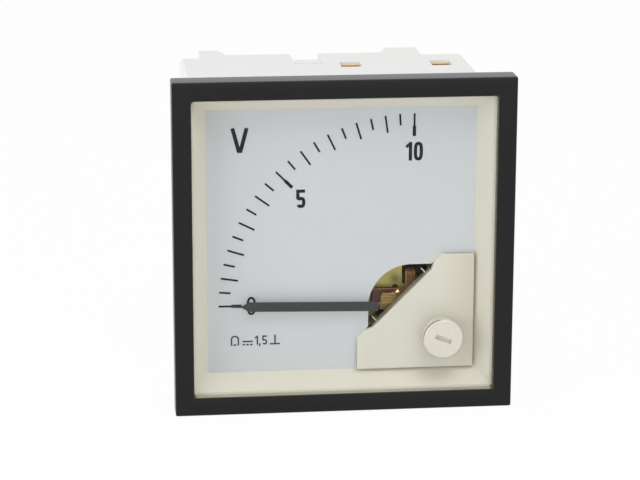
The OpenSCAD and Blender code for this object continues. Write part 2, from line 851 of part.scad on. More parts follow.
module jewel(face, way) {
    function y(h) = face + way * h;
    turned([[0, y(screw_end + cup_depth)], [0.02, y(screw_end + cup_depth)],
        [cup_radius, y(screw_end)], [jewel_radius, y(screw_end)],
        [jewel_radius, y(screw_end + jewel_length)], [0, y(screw_end + jewel_length)]]);
}

// Pivot staff with its foot and spring collet
module pivot_staff(face, way) {
    function y(h) = face + way * h;
    turned([[0, y(0)], [foot_radius, y(0)], [foot_radius, y(foot_thickness)],
        [collet_radius, y(foot_thickness)], [collet_radius, y(collet_end)],
        [staff_radius + 0.3, y(collet_end)], [staff_radius + 0.3, y(arm_start)],
        [staff_radius, y(arm_start)], [staff_radius, y(arm_end + 0.1)],
        [0.2, y(screw_end)], [0.03, y(tip_height)], [0, y(tip_height)]]);
}

front_screw_length = bridge_end - screw_end + 0.2 + lever_thickness + slip;

module front_jewel_screw() {
    color([0.75, 0.66, 0.4]) at_pivot() jewel_screw(coil_front, -1, front_screw_length, 1.3);
}

module front_jewel() {
    color([0.7, 0.15, 0.25]) at_pivot() jewel(coil_front, -1);
}

rear_screw_length = bridge_end - screw_end + 1.4;

module rear_jewel_screw() {
    color([0.75, 0.66, 0.4]) at_pivot()
        jewel_screw(coil_back, 1, rear_screw_length, jewel_screw_radius);
}

module rear_jewel() {
    color([0.7, 0.15, 0.25]) at_pivot() jewel(coil_back, 1);
}

rear_bridge_front = coil_back + bridge_start;

module jewel_locknut() {
    color([0.72, 0.6, 0.32]) at_pivot() difference() {
        translate([0, rear_bridge_front + bridge_thickness, 0]) rotate([-90, 0, 0])
            cylinder(r = 1.9, h = 0.8, $fn = 6);
        disc_y(jewel_screw_radius + thread_gap, rear_bridge_front, 4);
    }
}

anchor_angle = 120;
anchor_radius = 0.35;

module rear_bridge() {
    spring_front = coil_back + spring_start;
    anchor_r = rear_spring_radius + ribbon_thickness / 2 + anchor_radius + 0.01;
    color([0.72, 0.6, 0.32]) at_pivot() difference() {
        union() {
            plate(rear_bridge_front, bridge_thickness) {
                circle(2.4);
                for (a = rear_screw_angles) bar_to(screw_circle, a, 3.4);
                bar_to(anchor_r, anchor_angle, 1.6);
            }
            at_polar(anchor_r, anchor_angle)
                disc_y(anchor_radius, spring_front, rear_bridge_front - spring_front + eps);
        }
        disc_y(jewel_screw_radius + thread_gap, rear_bridge_front - 1, bridge_thickness + 2);
        for (a = rear_screw_angles) at_polar(screw_circle, a)
            disc_y(screw_radius + slip, rear_bridge_front - 1, bridge_thickness + 2);
    }
}

// A cheese-head screw driven from behind; its head lies from y to y + height
module rear_screw(y, shank) {
    translate([0, 2 * y, 0]) mirror([0, 1, 0]) cheese_screw(y - screw_head_height, shank);
}

rear_shank = 3;

module rear_bridge_screws() {
    color([0.62, 0.62, 0.6]) at_pivot() for (i = [0, 1])
        at_polar(screw_circle, rear_screw_angles[i])
        rear_screw(rear_bridge_front + bridge_thickness + (i == 0 ? tag_thickness : 0), rear_shank);
}

// ---- Hairsprings ----

// Flat spiral ribbon: radius grows evenly with the angle; it ends at end_angle
module spiral(r0, r1, turns, end_angle) {
    steps = ceil(turns * 28);
    function at(i, side) =
        let (t = i / steps, r = r0 + (r1 - r0) * t + side * ribbon_thickness / 2,
            a = end_angle - 360 * turns * (1 - t))
        r * [cos(a), sin(a)];
    polygon(concat([for (i = [0:steps]) at(i, 1)], [for (i = [steps:-1:0]) at(i, -1)]));
}

spring_inner = collet_radius + ribbon_thickness / 2 + 0.01;

module front_hairspring() {
    color([0.8, 0.66, 0.3]) at_pivot()
        plate(coil_front - spring_start - ribbon_height, ribbon_height)
        spiral(spring_inner, front_spring_radius - 0.01, spring_turns, tab_angle);
}

module rear_hairspring() {
    color([0.8, 0.66, 0.3]) at_pivot()
        plate(coil_back + spring_start, ribbon_height)
        spiral(spring_inner, rear_spring_radius, spring_turns, anchor_angle);
}

// ---- Magnet system and supports ----

frame_screw_angles = [45, 225];
frame_outer = frame_inner + frame_wall;
bracket_angle = 135;
bracket_screw_distance = 10.9;
bracket_middle = 3.2;
core_screw_distance = 3.6;
small_screw = 0.7;

// Two large lobes, upper left and lower right, and two small ones over the core, joined at the middle
module bracket_outline(grow) {
    for (a = [0, 180]) rotate(a) intersection() {
        circle(yoke_outer - 0.4 + grow);
        translate([-beyond - bracket_edge[0] + grow, bracket_edge[1] - grow]) square(beyond);
    }
    circle(bracket_middle + grow);
    for (a = [0, 180]) rotate(a) intersection() {
        circle(core_radius - 0.4 + grow);
        square(core_radius + grow);
    }
}

module movement_frame() {
    color([0.26, 0.26, 0.25]) at_pivot() difference() {
        plate(frame_front, core_front - frame_front) difference() {
            sector(frame_outer, frame_open[1] - 360, frame_open[0]);
            circle(frame_inner);
        }
        plate(bracket_front - slip, bracket_thickness + 1) bracket_outline(0.3);
        for (a = frame_screw_angles) at_polar(screw_circle, a)
            disc_y(screw_radius + slip, frame_front - 1, 8);
        for (a = bridge_screw_angles) at_polar(screw_circle, a)
            disc_y(screw_radius + thread_gap, frame_front - 1, bridge_screw_shank + 1.2);
    }
}

frame_nut = 1.6;
frame_shank = base_back - frame_front + tag_thickness + frame_nut + 0.3;

module frame_screws() {
    color([0.62, 0.62, 0.6]) at_pivot() for (a = frame_screw_angles) at_polar(screw_circle, a)
        cheese_screw(frame_front - screw_head_height, frame_shank);
}

module frame_nuts() {
    color([0.72, 0.6, 0.32]) at_pivot() for (i = [0, 1])
        at_polar(screw_circle, frame_screw_angles[i]) difference() {
            hex_y(4, base_back + i * tag_thickness, frame_nut);
            disc_y(screw_radius + thread_gap, base_back - 1, frame_nut + 3);
        }
}

module yoke_ring() {
    color([0.62, 0.58, 0.38]) at_pivot() difference() {
        disc_y(yoke_outer, core_front, core_length);
        disc_y(yoke_inner, core_front - 1, core_length + 2);
        for (a = frame_screw_angles) at_polar(screw_circle, a)
            disc_y(screw_radius + slip, core_front - 1, core_length + 2);
        for (a = [0, 180]) at_polar(bracket_screw_distance, bracket_angle + a)
            disc_y(small_screw + thread_gap, core_front - 1, rear_shank + 1.5);
    }
}

module core_magnet() {
    color([0.35, 0.34, 0.33]) at_pivot() difference() {
        disc_y(core_radius, core_front, core_length);
        at_polar(core_screw_distance, bracket_angle - 180)
            disc_y(small_screw + thread_gap, core_front - 1, rear_shank + 1.5);
    }
}

// Countersunk screws: two into the yoke and one into the magnet
module for_bracket_screws() {
    for (a = [0, 180]) at_polar(bracket_screw_distance, bracket_angle + a) children();
    at_polar(core_screw_distance, bracket_angle - 180) children();
}

sink = 0.6;

module core_bracket() {
    head = small_screw + sink;
    y = bracket_front;
    color([0.66, 0.63, 0.36]) at_pivot() difference() {
        plate(bracket_front, bracket_thickness) difference() {
            bracket_outline(0);
            translate([-notch_offset, bracket_edge[1]]) circle(notch_radius);
        }
        for_bracket_screws()
            turned([[0, y - 1], [head + slip, y - 1], [head + slip, y],
                [small_screw + slip, y + sink], [small_screw + slip, y + 2], [0, y + 2]]);
    }
}

module bracket_screws() {
    head = small_screw + sink;
    y = bracket_front;
    color([0.62, 0.62, 0.6]) at_pivot() for_bracket_screws() difference() {
        turned([[0, y], [head, y], [small_screw, y + sink], [small_screw, y + rear_shank],
            [0, y + rear_shank]]);
        translate([-2, y - 1, -0.15]) cube([4, 1.25, 0.3]);
    }
}

module movement_base() {
    color([0.26, 0.26, 0.25]) at_pivot() difference() {
        plate(core_back, base_thickness) rounded_square(base_size / 2, 2);
        disc_y(base_hole, core_back - 1, base_thickness + 2);
        for (a = frame_screw_angles) at_polar(screw_circle, a)
            disc_y(screw_radius + slip, core_back - 1, base_thickness + 2);
        for (a = rear_screw_angles) at_polar(screw_circle, a)
            disc_y(screw_radius + thread_gap, core_back + 0.4, base_thickness);
        for (sx = [-1, 1], sz = [-1, 1]) translate([sx * corner_offset, 0, sz * corner_offset])
            disc_y(post_bore + 0.2, core_back - 1, base_thickness + 2);
    }
}

module base_screws() {
    color([0.62, 0.62, 0.6]) for_corners() difference() {
        union() {
            disc_y(base_head, core_back - base_head_height, base_head_height);
            disc_y(post_bore - thread_gap, core_back - eps, base_thickness + post_depth - 2);
        }
        translate([-base_head - 1, core_back - base_head_height - 1, -slot_width / 4])
            cube([2 * base_head + 2, 1.5, slot_width / 2]);
    }
}

// ---- Moving coil ----

coil_corner = 0.6;              // inner corner radius of the former

// A rectangle in the plane across X, from y = front to y = back, with round corners
module coil_outline(half, front, back, radius) {
    translate([front + radius, -half]) square([back - front - 2 * radius, 2 * half]);
    translate([front, radius - half]) square([back - front, 2 * (half - radius)]);
    for (y = [front + radius, back - radius], z = [radius - half, half - radius])
        translate([y, z]) circle(radius);
}

// A ring round the core in the plane across X
module coil_ring(half_in, front_in, back_in, thick, width) {
    bend = coil_corner + half_in - coil_inner;
    translate([-width / 2, 0, 0]) rotate([90, 0, 90]) linear_extrude(width) difference() {
        coil_outline(half_in + thick, front_in - thick, back_in + thick, bend + thick);
        coil_outline(half_in, front_in, back_in, bend);
    }
}

module turned_with_pointer() {
    at_pivot() rotate([0, pointer_rest, 0]) children();
}

module coil_former() {
    color([0.6, 0.34, 0.26]) turned_with_pointer() {
        coil_ring(coil_inner, inner_front, inner_back, former_thickness, former_width);
        for (s = [-1, 1]) translate([s * (former_width - former_flange) / 2, 0, 0])
            coil_ring(coil_inner, inner_front, inner_back,
                former_thickness + winding_thickness - 0.1, former_flange);
    }
}

module coil_winding() {
    color([0.7, 0.38, 0.2]) turned_with_pointer()
        coil_ring(coil_inner + former_thickness, former_front, former_back, winding_thickness,
            former_width - 2 * former_flange);
}

module front_pivot() {
    color([0.78, 0.7, 0.45]) at_pivot() pivot_staff(coil_front, -1);
}

module rear_pivot() {
    color([0.78, 0.7, 0.45]) at_pivot() pivot_staff(coil_back, 1);
}

arm_front = coil_front - arm_end;
arm_neck = 6.6;
arm_tip = pointer_foot + 0.8;
leg_width = 0.55;               // the leg that carries the pointer, along its lower edge
groove = 0.3;

// Board glued on the coil's front bar; the arm and the spring's collet stand in front
module carrier_plate() {
    back = 1.5;
    color([0.42, 0.24, 0.2]) turned_with_pointer() plate(coil_front - carrier_thickness,
        carrier_thickness) difference() {
        translate([-pointer_foot - 0.6, -carrier_width / 2])
            square([pointer_foot + 0.6 + back, carrier_width]);
        circle(foot_radius + thread_gap);
    }
}

module pointer_arm() {
    w = arm_width / 2;
    n = pointer_width / 2;
    color([0.76, 0.6, 0.34]) turned_with_pointer() difference() {
        plate(arm_front, arm_thickness) {
            circle(1.5);
            polygon([[0, 0.9], [-3.2, w], [-arm_neck / 2, w], [-arm_neck, n], [-arm_neck, leg_width - n],
                [-arm_tip, leg_width - n], [-arm_tip, -n], [-arm_neck, -n], [-arm_neck, -w],
                [-3.2, -w], [0, -0.9]]);
            translate([0, -0.9]) square([tail_length, 1.8]);
        }
        disc_y(staff_radius + thread_gap, arm_front - 1, arm_thickness + 2);
        for (k = [-1, 0]) translate([-arm_neck + 0.4, arm_front - 1, k * 1.1 + 0.4 - groove / 2])
            cube([arm_neck - 3, 1.1, groove]);
    }
}

pointer_front = dial_front - pointer_gap - pointer_thickness / 2;

module pointer() {
    w = pointer_width / 2;
    t = tip_width / 2;
    color([0.27, 0.27, 0.27]) turned_with_pointer() {
        plate(pointer_front, pointer_thickness)
            polygon([[-pointer_foot, w], [-pointer_shoulder, w], [-pointer_shoulder - pointer_taper, t],
                [-pointer_reach, t / 2], [-pointer_reach, -t / 2],
                [-pointer_shoulder - pointer_taper, -t], [-pointer_shoulder, -w],
                [-pointer_foot, -w]]);
        plate(pointer_front, arm_front - pointer_front)
            translate([-pointer_foot - pointer_thickness, -w]) square([pointer_thickness, leg_width]);
        plate(arm_front - pointer_thickness, pointer_thickness)
            translate([-arm_tip, -w]) square([arm_tip - pointer_foot, leg_width]);
    }
}

weight_front = arm_front + arm_thickness / 2 - weight_thickness / 2;

module balance_weight() {
    h = weight_half_angle;
    color([0.68, 0.66, 0.6]) turned_with_pointer() difference() {
        plate(weight_front, weight_thickness) difference() {
            sector(weight_outer, -h, h);
            circle(weight_inner);
        }
        translate([0, arm_front - thread_gap, -0.9 - thread_gap])
            cube([tail_length + thread_gap, arm_thickness + 2 * thread_gap, 1.8 + 2 * thread_gap]);
    }
}

// ---- Terminals and wiring ----

module at_studs() {
    for (x = stud_x) translate([x, 0, stud_z]) children();
}

// A hexagon about Y, from y to y + t
module hex_y(flats, y, t) {
    translate([0, y, 0]) rotate([-90, 0, 0]) cylinder(r = flats / sqrt(3), h = t, $fn = 6);
}

module terminal_studs() {
    color([0.78, 0.66, 0.36]) at_studs() {
        hex_y(nut_flats, tag_front - head_height, head_height);
        turned([[0, tag_front - eps], [stud_radius, tag_front - eps], [stud_radius, free_start],
            [stud_point, free_start + stud_radius - stud_point], [stud_point, stud_end - stud_tip],
            [stud_point - stud_tip, stud_end], [0, stud_end]]);
    }
}

module terminal_washers() {
    pitch = washer_thickness + nut_thickness;
    color([0.72, 0.72, 0.7]) at_studs() for (k = [0, 1])
        turned([[stud_radius + 0.15, body_depth + k * pitch], [washer_radius, body_depth + k * pitch],
            [washer_radius, body_depth + k * pitch + washer_thickness],
            [stud_radius + 0.15, body_depth + k * pitch + washer_thickness]]);
}

module terminal_nuts() {
    pitch = washer_thickness + nut_thickness;
    color([0.78, 0.66, 0.36]) at_studs() for (k = [0, 1]) difference() {
        hex_y(nut_flats, body_depth + k * pitch + washer_thickness, nut_thickness);
        disc_y(stud_radius + thread_gap, body_depth, 2 * pitch + 1);
    }
}

module terminal_tags() {
    color([0.8, 0.76, 0.62]) at_studs() difference() {
        plate(tag_front, tag_thickness) {
            circle(3.4);
            translate([-1.1, 0]) square([2.2, tag_tail]);
        }
        disc_y(stud_radius + 0.1, tag_front - 1, tag_thickness + 2);
    }
}

tag_ring = 1.9;
tag_width = 1.6;
small_tail = 5;

// Solder tag under a screw: a ring and a tail at a turn from the horizontal
module small_tag(y, turn) {
    difference() {
        plate(y, tag_thickness) rotate(turn) {
            circle(tag_ring);
            translate([0, -tag_width / 2]) square([small_tail, tag_width]);
        }
        disc_y(screw_radius + slip, y - 1, tag_thickness + 2);
    }
}

rear_tag_y = rear_bridge_front + bridge_thickness;
frame_tag_turn = 180;
rear_tag_turn = 120;

module movement_tags() {
    color([0.8, 0.76, 0.62]) at_pivot() {
        at_polar(screw_circle, frame_screw_angles[1]) small_tag(base_back, frame_tag_turn);
        at_polar(screw_circle, rear_screw_angles[0]) small_tag(rear_tag_y, rear_tag_turn);
    }
}

resistor_z = stud_z + tag_tail - 1;
resistor_back = tag_front - 5;
lead_radius = 0.35;
lead_front = resistor_back - resistor_length - 3;

module series_resistor() {
    r = resistor_radius;
    b = resistor_back;
    f = b - resistor_length;
    color([0.5, 0.62, 0.68]) translate([stud_x[0], 0, resistor_z])
        turned([[0, lead_front], [lead_radius, lead_front], [lead_radius, f], [r * 0.8, f],
            [r, f + 0.4], [r, f + 1.8], [r * 0.88, f + 2.3], [r * 0.88, b - 2.3], [r, b - 1.8],
            [r, b - 0.4], [r * 0.8, b], [lead_radius, b], [lead_radius, tag_front], [0, tag_front]]);
}

// Point on a cubic curve with four control points
function cubic(p, t) = pow(1 - t, 3) * p[0] + 3 * pow(1 - t, 2) * t * p[1]
    + 3 * (1 - t) * t * t * p[2] + t * t * t * p[3];
function unit(v) = v / norm(v);

// Round wire along a cubic curve
module wire(control) {
    rings = 24;
    sides = 8;
    points = [for (i = [0:rings]) cubic(control, i / rings)];
    function along(i) = unit(i == 0 ? control[1] - control[0]
        : i == rings ? control[3] - control[2] : points[i + 1] - points[i - 1]);
    function across(i) = unit(cross(along(i), [0.3, 0.2, 1]));
    corners = [for (i = [0:rings], k = [0:sides - 1])
        let (u = across(i), v = cross(along(i), u))
        points[i] + wire_radius * (cos(360 * k / sides) * u + sin(360 * k / sides) * v)];
    walls = [for (i = [0:rings - 1], k = [0:sides - 1])
        let (n = (k + 1) % sides) [i * sides + k, (i + 1) * sides + k, (i + 1) * sides + n, i * sides + n]];
    caps = [[for (k = [0:sides - 1]) k], [for (k = [sides - 1:-1:0]) rings * sides + k]];
    polyhedron(corners, concat(caps, walls));
}

solder = 0.02;                  // gap between a wire's end and what it is soldered to
// How far each wire runs straight out of its ends, in millimetres along Y
wire_start = [0, 8, 0];
frame_run = [0, 14, 0];
rear_run = [0, 9, 0];

module lead_wires() {
    frame_tag = [
        pivot_x + screw_circle * cos(frame_screw_angles[1]) + (small_tail - 1) * cos(frame_tag_turn),
        base_back + tag_thickness + solder,
        pivot_z + screw_circle * sin(frame_screw_angles[1]) + (small_tail - 1) * sin(frame_tag_turn)];
    rear_tag = [pivot_x + screw_circle * cos(rear_screw_angles[0]) + (small_tail - 1) * cos(rear_tag_turn),
        rear_tag_y + tag_thickness + solder,
        pivot_z + screw_circle * sin(rear_screw_angles[0]) + (small_tail - 1) * sin(rear_tag_turn)];
    lead_end = [stud_x[0], lead_front - solder, resistor_z];
    stud_tag = [stud_x[1], tag_front - solder, stud_z + tag_tail - 1];
    color([0.75, 0.2, 0.15]) wire([lead_end, lead_end - wire_start, frame_tag + frame_run, frame_tag]);
    color([0.2, 0.25, 0.6]) wire([stud_tag, stud_tag - wire_start, rear_tag + rear_run, rear_tag]);
}

bezel();
window();
case();
dial_surround();
dial_plate();
scale_print();
corner_cover();
zero_adjuster();
adjuster_ring();
zero_lever();
front_bridge();
bridge_screws();
front_jewel_screw();
front_jewel();
front_hairspring();
movement_frame();
frame_screws();
yoke_ring();
core_magnet();
core_bracket();
bracket_screws();
movement_base();
base_screws();
rear_bridge();
rear_bridge_screws();
rear_jewel_screw();
rear_jewel();
jewel_locknut();
rear_hairspring();
coil_former();
coil_winding();
front_pivot();
rear_pivot();
carrier_plate();
pointer_arm();
pointer();
balance_weight();
frame_nuts();
terminal_studs();
terminal_washers();
terminal_nuts();
terminal_tags();
movement_tags();
series_resistor();
lead_wires();
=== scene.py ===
import functools
import itertools
import json
import math

import bmesh
import bpy
import numpy as np
from mathutils import Matrix, Vector


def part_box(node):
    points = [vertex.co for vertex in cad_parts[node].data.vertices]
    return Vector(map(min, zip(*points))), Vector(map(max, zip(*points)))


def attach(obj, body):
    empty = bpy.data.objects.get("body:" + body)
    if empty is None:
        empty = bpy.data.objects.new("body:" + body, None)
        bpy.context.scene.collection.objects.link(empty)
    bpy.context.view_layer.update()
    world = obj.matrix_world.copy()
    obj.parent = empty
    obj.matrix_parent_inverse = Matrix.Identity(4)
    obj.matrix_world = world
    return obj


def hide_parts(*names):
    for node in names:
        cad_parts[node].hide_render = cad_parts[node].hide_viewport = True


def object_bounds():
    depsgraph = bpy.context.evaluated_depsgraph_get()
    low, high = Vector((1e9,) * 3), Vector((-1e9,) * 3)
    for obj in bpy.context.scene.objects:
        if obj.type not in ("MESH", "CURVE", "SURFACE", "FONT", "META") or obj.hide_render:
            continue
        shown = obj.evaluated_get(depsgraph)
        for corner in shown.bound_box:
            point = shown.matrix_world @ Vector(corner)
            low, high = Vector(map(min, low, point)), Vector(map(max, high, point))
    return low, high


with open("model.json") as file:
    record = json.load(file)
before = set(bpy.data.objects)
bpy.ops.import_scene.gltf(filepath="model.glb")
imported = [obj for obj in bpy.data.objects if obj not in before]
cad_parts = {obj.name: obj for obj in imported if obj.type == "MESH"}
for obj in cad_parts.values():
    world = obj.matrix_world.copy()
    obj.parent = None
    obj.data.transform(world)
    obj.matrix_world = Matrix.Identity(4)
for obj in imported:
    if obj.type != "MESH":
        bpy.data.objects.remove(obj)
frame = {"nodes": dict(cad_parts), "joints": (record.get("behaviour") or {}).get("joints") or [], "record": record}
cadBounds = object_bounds()
mm = 0.001
nodes = frame["nodes"]
bodyOf = {n: b for b, ns in frame["record"]["behaviour"]["bodies"].items() for n in ns}
slotOf = {s["node"]: s["material_slot"] for s in frame["record"]["subparts"]}
joints = {j["name"]: j for j in frame["joints"]}
pivot = Vector(joints["coil_swing"]["pos_m"])
knobAxis = Vector(joints["zero_adjust"]["pos_m"])


def tone(red, green, blue):
    # screen colour out of 255 to the shader's linear value
    c = np.array([red, green, blue]) / 255
    lin = np.where(c <= 0.04045, c / 12.92, ((c + 0.055) / 1.055) ** 2.4)
    return (float(lin[0]), float(lin[1]), float(lin[2]), 1.0)


# finishes: small node helpers first

def wire(tree, source, target):
    tree.links.new(source, target)


def finishBase(name, color, rough, metallic=0.0, specular=0.5):
    mat = bpy.data.materials.new(name)
    mat.use_nodes = True
    tree = mat.node_tree
    shader = tree.nodes["Principled BSDF"]
    shader.inputs["Base Color"].default_value = color
    shader.inputs["Roughness"].default_value = rough
    shader.inputs["Metallic"].default_value = metallic
    shader.inputs["Specular IOR Level"].default_value = specular
    place = tree.nodes.new("ShaderNodeTexCoord")
    return mat, tree, shader, place.outputs["Object"]


def noiseAt(tree, place, scale, detail=3.0, stretch=(1, 1, 1)):
    spread = tree.nodes.new("ShaderNodeMapping")
    spread.inputs["Scale"].default_value = stretch
    noise = tree.nodes.new("ShaderNodeTexNoise")
    noise.inputs["Scale"].default_value = scale
    noise.inputs["Detail"].default_value = detail
    wire(tree, place, spread.inputs["Vector"])
    wire(tree, spread.outputs["Vector"], noise.inputs["Vector"])
    return noise.outputs["Fac"]


def between(tree, value, low, high, fromLow=0.3, fromHigh=0.7):
    span = tree.nodes.new("ShaderNodeMapRange")
    span.inputs["From Min"].default_value = fromLow
    span.inputs["From Max"].default_value = fromHigh
    span.inputs["To Min"].default_value = low
    span.inputs["To Max"].default_value = high
    wire(tree, value, span.inputs["Value"])
    return span.outputs["Result"]


def mottle(tree, shader, value, color, shift, warm=0.0):
    # two shades of one colour, mixed by a pattern
    mix = tree.nodes.new("ShaderNodeMix")
    mix.data_type = "RGBA"
    dark = [c * (1 - shift) for c in color[:3]]
    light = [min(1, c * (1 + shift)) for c in color[:3]]
    dark[2] *= 1 - warm
    mix.inputs[6].default_value = (*dark, 1)
    mix.inputs[7].default_value = (*light, 1)
    wire(tree, value, mix.inputs[0])
    wire(tree, mix.outputs[2], shader.inputs["Base Color"])


def addBump(tree, shader, height, depth):
    bump = tree.nodes.new("ShaderNodeBump")
    bump.inputs["Distance"].default_value = depth
    bump.inputs["Strength"].default_value = 1
    wire(tree, height, bump.inputs["Height"])
    wire(tree, bump.outputs["Normal"], shader.inputs["Normal"])


def edgeGloss(tree, shader, facing, grazing):
    # moulded skin: little gloss seen straight on, more seen along the face
    edge = tree.nodes.new("ShaderNodeLayerWeight")
    edge.inputs["Blend"].default_value = 0.5
    gloss = between(tree, edge.outputs["Facing"], facing, grazing, 0.15, 0.8)
    wire(tree, gloss, shader.inputs["Specular IOR Level"])


def combine(tree, operation, *values):
    # one math node; each value is a number or another node's output
    node = tree.nodes.new("ShaderNodeMath")
    node.operation = operation
    for socket, value in zip(node.inputs, values):
        if isinstance(value, (int, float)):
            socket.default_value = value
        else:
            wire(tree, value, socket)
    return node.outputs[0]


def placed(tree, place, formula):
    # a 0 to 1 mask worked out from the object's own X, Y and Z by small sums
    axes = tree.nodes.new("ShaderNodeSeparateXYZ")
    wire(tree, place, axes.inputs["Vector"])
    do = functools.partial(combine, tree)
    mask = formula(do, axes.outputs["X"], axes.outputs["Y"], axes.outputs["Z"])
    mask.node.use_clamp = True
    return mask


def tint(tree, shader, mask, color):
    # the named colour where the mask is 1
    old = shader.inputs["Base Color"].links[0].from_socket
    mix = tree.nodes.new("ShaderNodeMix")
    mix.data_type = "RGBA"
    mix.inputs[7].default_value = color
    wire(tree, mask, mix.inputs[0])
    wire(tree, old, mix.inputs[6])
    wire(tree, mix.outputs[2], shader.inputs["Base Color"])


def mouldedPlastic(name, look):
    mat, tree, shader, place = finishBase(name, look["color"], look["rough"], 0, look.get("gloss", 0.5))
    broad = noiseAt(tree, place, look.get("cloud", 90), 2)
    fine = noiseAt(tree, place, look["grain"], 4)
    mottle(tree, shader, broad, look["color"], look["shift"], look.get("warm", 0))
    if "grazing" in look:
        edgeGloss(tree, shader, look["gloss"], look["grazing"])
    for color, formula in look.get("tints", ()):
        tint(tree, shader, placed(tree, place, formula), color)
    wire(tree, between(tree, fine, look["rough"] - look["roughShift"], look["rough"] + look["roughShift"]),
         shader.inputs["Roughness"])
    addBump(tree, shader, fine, look["depth"])
    return mat


def bareMetal(name, look):
    # brushed one way: the noise is squeezed along the brushing
    mat, tree, shader, place = finishBase(name, look["color"], look["rough"], look.get("metallic", 1))
    brushed = noiseAt(tree, place, look["grain"], 5, look.get("stretch", (1, 1, 1)))
    broad = noiseAt(tree, place, look.get("cloud", 260), 3, look.get("drawn", (1, 1, 1)))
    mottle(tree, shader, broad, look["color"], look["shift"], look.get("warm", 0))
    for color, formula in look.get("tints", ()):
        tint(tree, shader, placed(tree, place, formula), color)
    wire(tree, between(tree, brushed, look["rough"] - look["roughShift"], look["rough"] + look["roughShift"]),
         shader.inputs["Roughness"])
    addBump(tree, shader, brushed, look["depth"])
    return mat


def woundWire(name, look):
    # ridges side by side across X, about as fine as the turns of the wire
    mat, tree, shader, place = finishBase(name, look["color"], look["rough"], 0.3)
    ridges = tree.nodes.new("ShaderNodeTexWave")
    ridges.wave_type, ridges.bands_direction = "BANDS", "X"
    ridges.inputs["Scale"].default_value = look["turns"]
    ridges.inputs["Distortion"].default_value = 0.6
    wire(tree, place, ridges.inputs["Vector"])
    mottle(tree, shader, ridges.outputs["Fac"], look["color"], look["shift"])
    addBump(tree, shader, ridges.outputs["Fac"], look["depth"])
    return mat


def boreMask(tree, place, centre, radius):
    # 1 inside the radius round an axis along Y
    flat = tree.nodes.new("ShaderNodeVectorMath")
    flat.operation = "MULTIPLY_ADD"
    flat.inputs[1].default_value = (1, 0, 1)
    flat.inputs[2].default_value = (-centre.x, 0, -centre.z)
    size = tree.nodes.new("ShaderNodeVectorMath")
    size.operation = "LENGTH"
    wire(tree, place, flat.inputs[0])
    wire(tree, flat.outputs["Vector"], size.inputs[0])
    return between(tree, size.outputs["Value"], 1, 0, radius, radius + 3e-5)


def clearPane(name, look):
    mat, tree, shader, place = finishBase(name, look["color"], look["rough"], 0, 0.5)
    shader.inputs["IOR"].default_value = 1.49
    edge = tree.nodes.new("ShaderNodeLayerWeight")
    edge.inputs["Blend"].default_value = 0.5
    # painted shade: the bore round the knob is made a little less clear and dark, for the shade in the gap round
    # the knob
    bore = boreMask(tree, place, knobAxis, look["bore"])
    boreShadeOpacity = combine(tree, "MULTIPLY", bore, look["boreShadeAlpha"])
    alongEdge = between(tree, edge.outputs["Facing"], look["alpha"], look["edgeAlpha"], 0.6, 1)
    wire(tree, combine(tree, "MAXIMUM", boreShadeOpacity, alongEdge), shader.inputs["Alpha"])
    smears = noiseAt(tree, place, look["grain"], 2)
    wire(tree, between(tree, smears, look["rough"], look["rough"] + look["roughShift"]),
         shader.inputs["Roughness"])
    mottle(tree, shader, smears, look["color"], look["shift"])
    tint(tree, shader, bore, look["boreShadeColor"])
    return mat


def ramp(do, value, start, slope):
    # 0 at the start, growing by the slope for each metre
    return do("MULTIPLY", do("SUBTRACT", value, start), slope)


def unit(do, value):
    # cut to 0 to 1
    return do("MAXIMUM", do("MINIMUM", value, 1.0), 0.0)


rim = dict(half=32.02 * mm, fade=6000.0, low=-31.9 * mm, window=-5.25 * mm)


def wallShare(do, x, z):
    # 1 at the bezel's opening and less outside it: 1 - fade (max(|x|, |z|) - half)
    far = do("MAXIMUM", do("ABSOLUTE", x), do("ABSOLUTE", z))
    return do("SUBTRACT", 1.0, ramp(do, far, rim["half"], rim["fade"]))


# painted reflection: the bezel's inner wall at the opening in dark olive, for the surround's colour seen in the
# window's edge
def rimEdgeReflection(do, x, y, z):
    return wallShare(do, x, z)


def lowRimReflection(do, x, y, z):
    # painted reflection: the inner wall's lower side behind the window's face, pale with the surround's light seen
    # in the window's edge
    side = do("MULTIPLY", do("LESS_THAN", z, rim["low"]), do("GREATER_THAN", y, rim["window"]))
    return do("MULTIPLY", wallShare(do, x, z), side)


coverBack = dict(face=0.3 * mm, deepen=1400.0, diagonal=-25.6 * mm, fade=6000.0, rib=1.65 * mm,
                 ribFade=5000.0)


def coverDeepShade(do, x, y, z):
    # painted shade: darker with the depth behind the cover's face, below the diagonal z - x; the two ribs past it
    # by their depth alone
    depth = do("MINIMUM", ramp(do, y, coverBack["face"], coverBack["deepen"]), 1.0)
    below = do("SUBTRACT", coverBack["diagonal"], do("SUBTRACT", z, x))
    wall = do("MULTIPLY", depth, unit(do, do("MULTIPLY", below, coverBack["fade"])))
    return do("MAXIMUM", wall, ramp(do, y, coverBack["rib"], coverBack["ribFade"]))


knobShadeLine = dict(left=-0.75, up=0.66, reach=2.9 * mm, fade=1500.0, front=-5.3 * mm, back=-4.8 * mm)


def knobSideShade(do, x, y, z):
    # painted shade: a thin dark line on the knob's side, far enough along (left, up) from the axis, between two
    # depths
    across = do("MULTIPLY", do("SUBTRACT", x, knobAxis.x), knobShadeLine["left"])
    upright = do("MULTIPLY", do("SUBTRACT", z, knobAxis.z), knobShadeLine["up"])
    side = unit(do, ramp(do, do("ADD", across, upright), knobShadeLine["reach"], knobShadeLine["fade"]))
    thin = do("MULTIPLY", do("GREATER_THAN", y, knobShadeLine["front"]), do("LESS_THAN", y, knobShadeLine["back"]))
    return do("MULTIPLY", side, thin)


pocket = dict(floor=30.1 * mm, side=30.5 * mm, end=36.5 * mm)


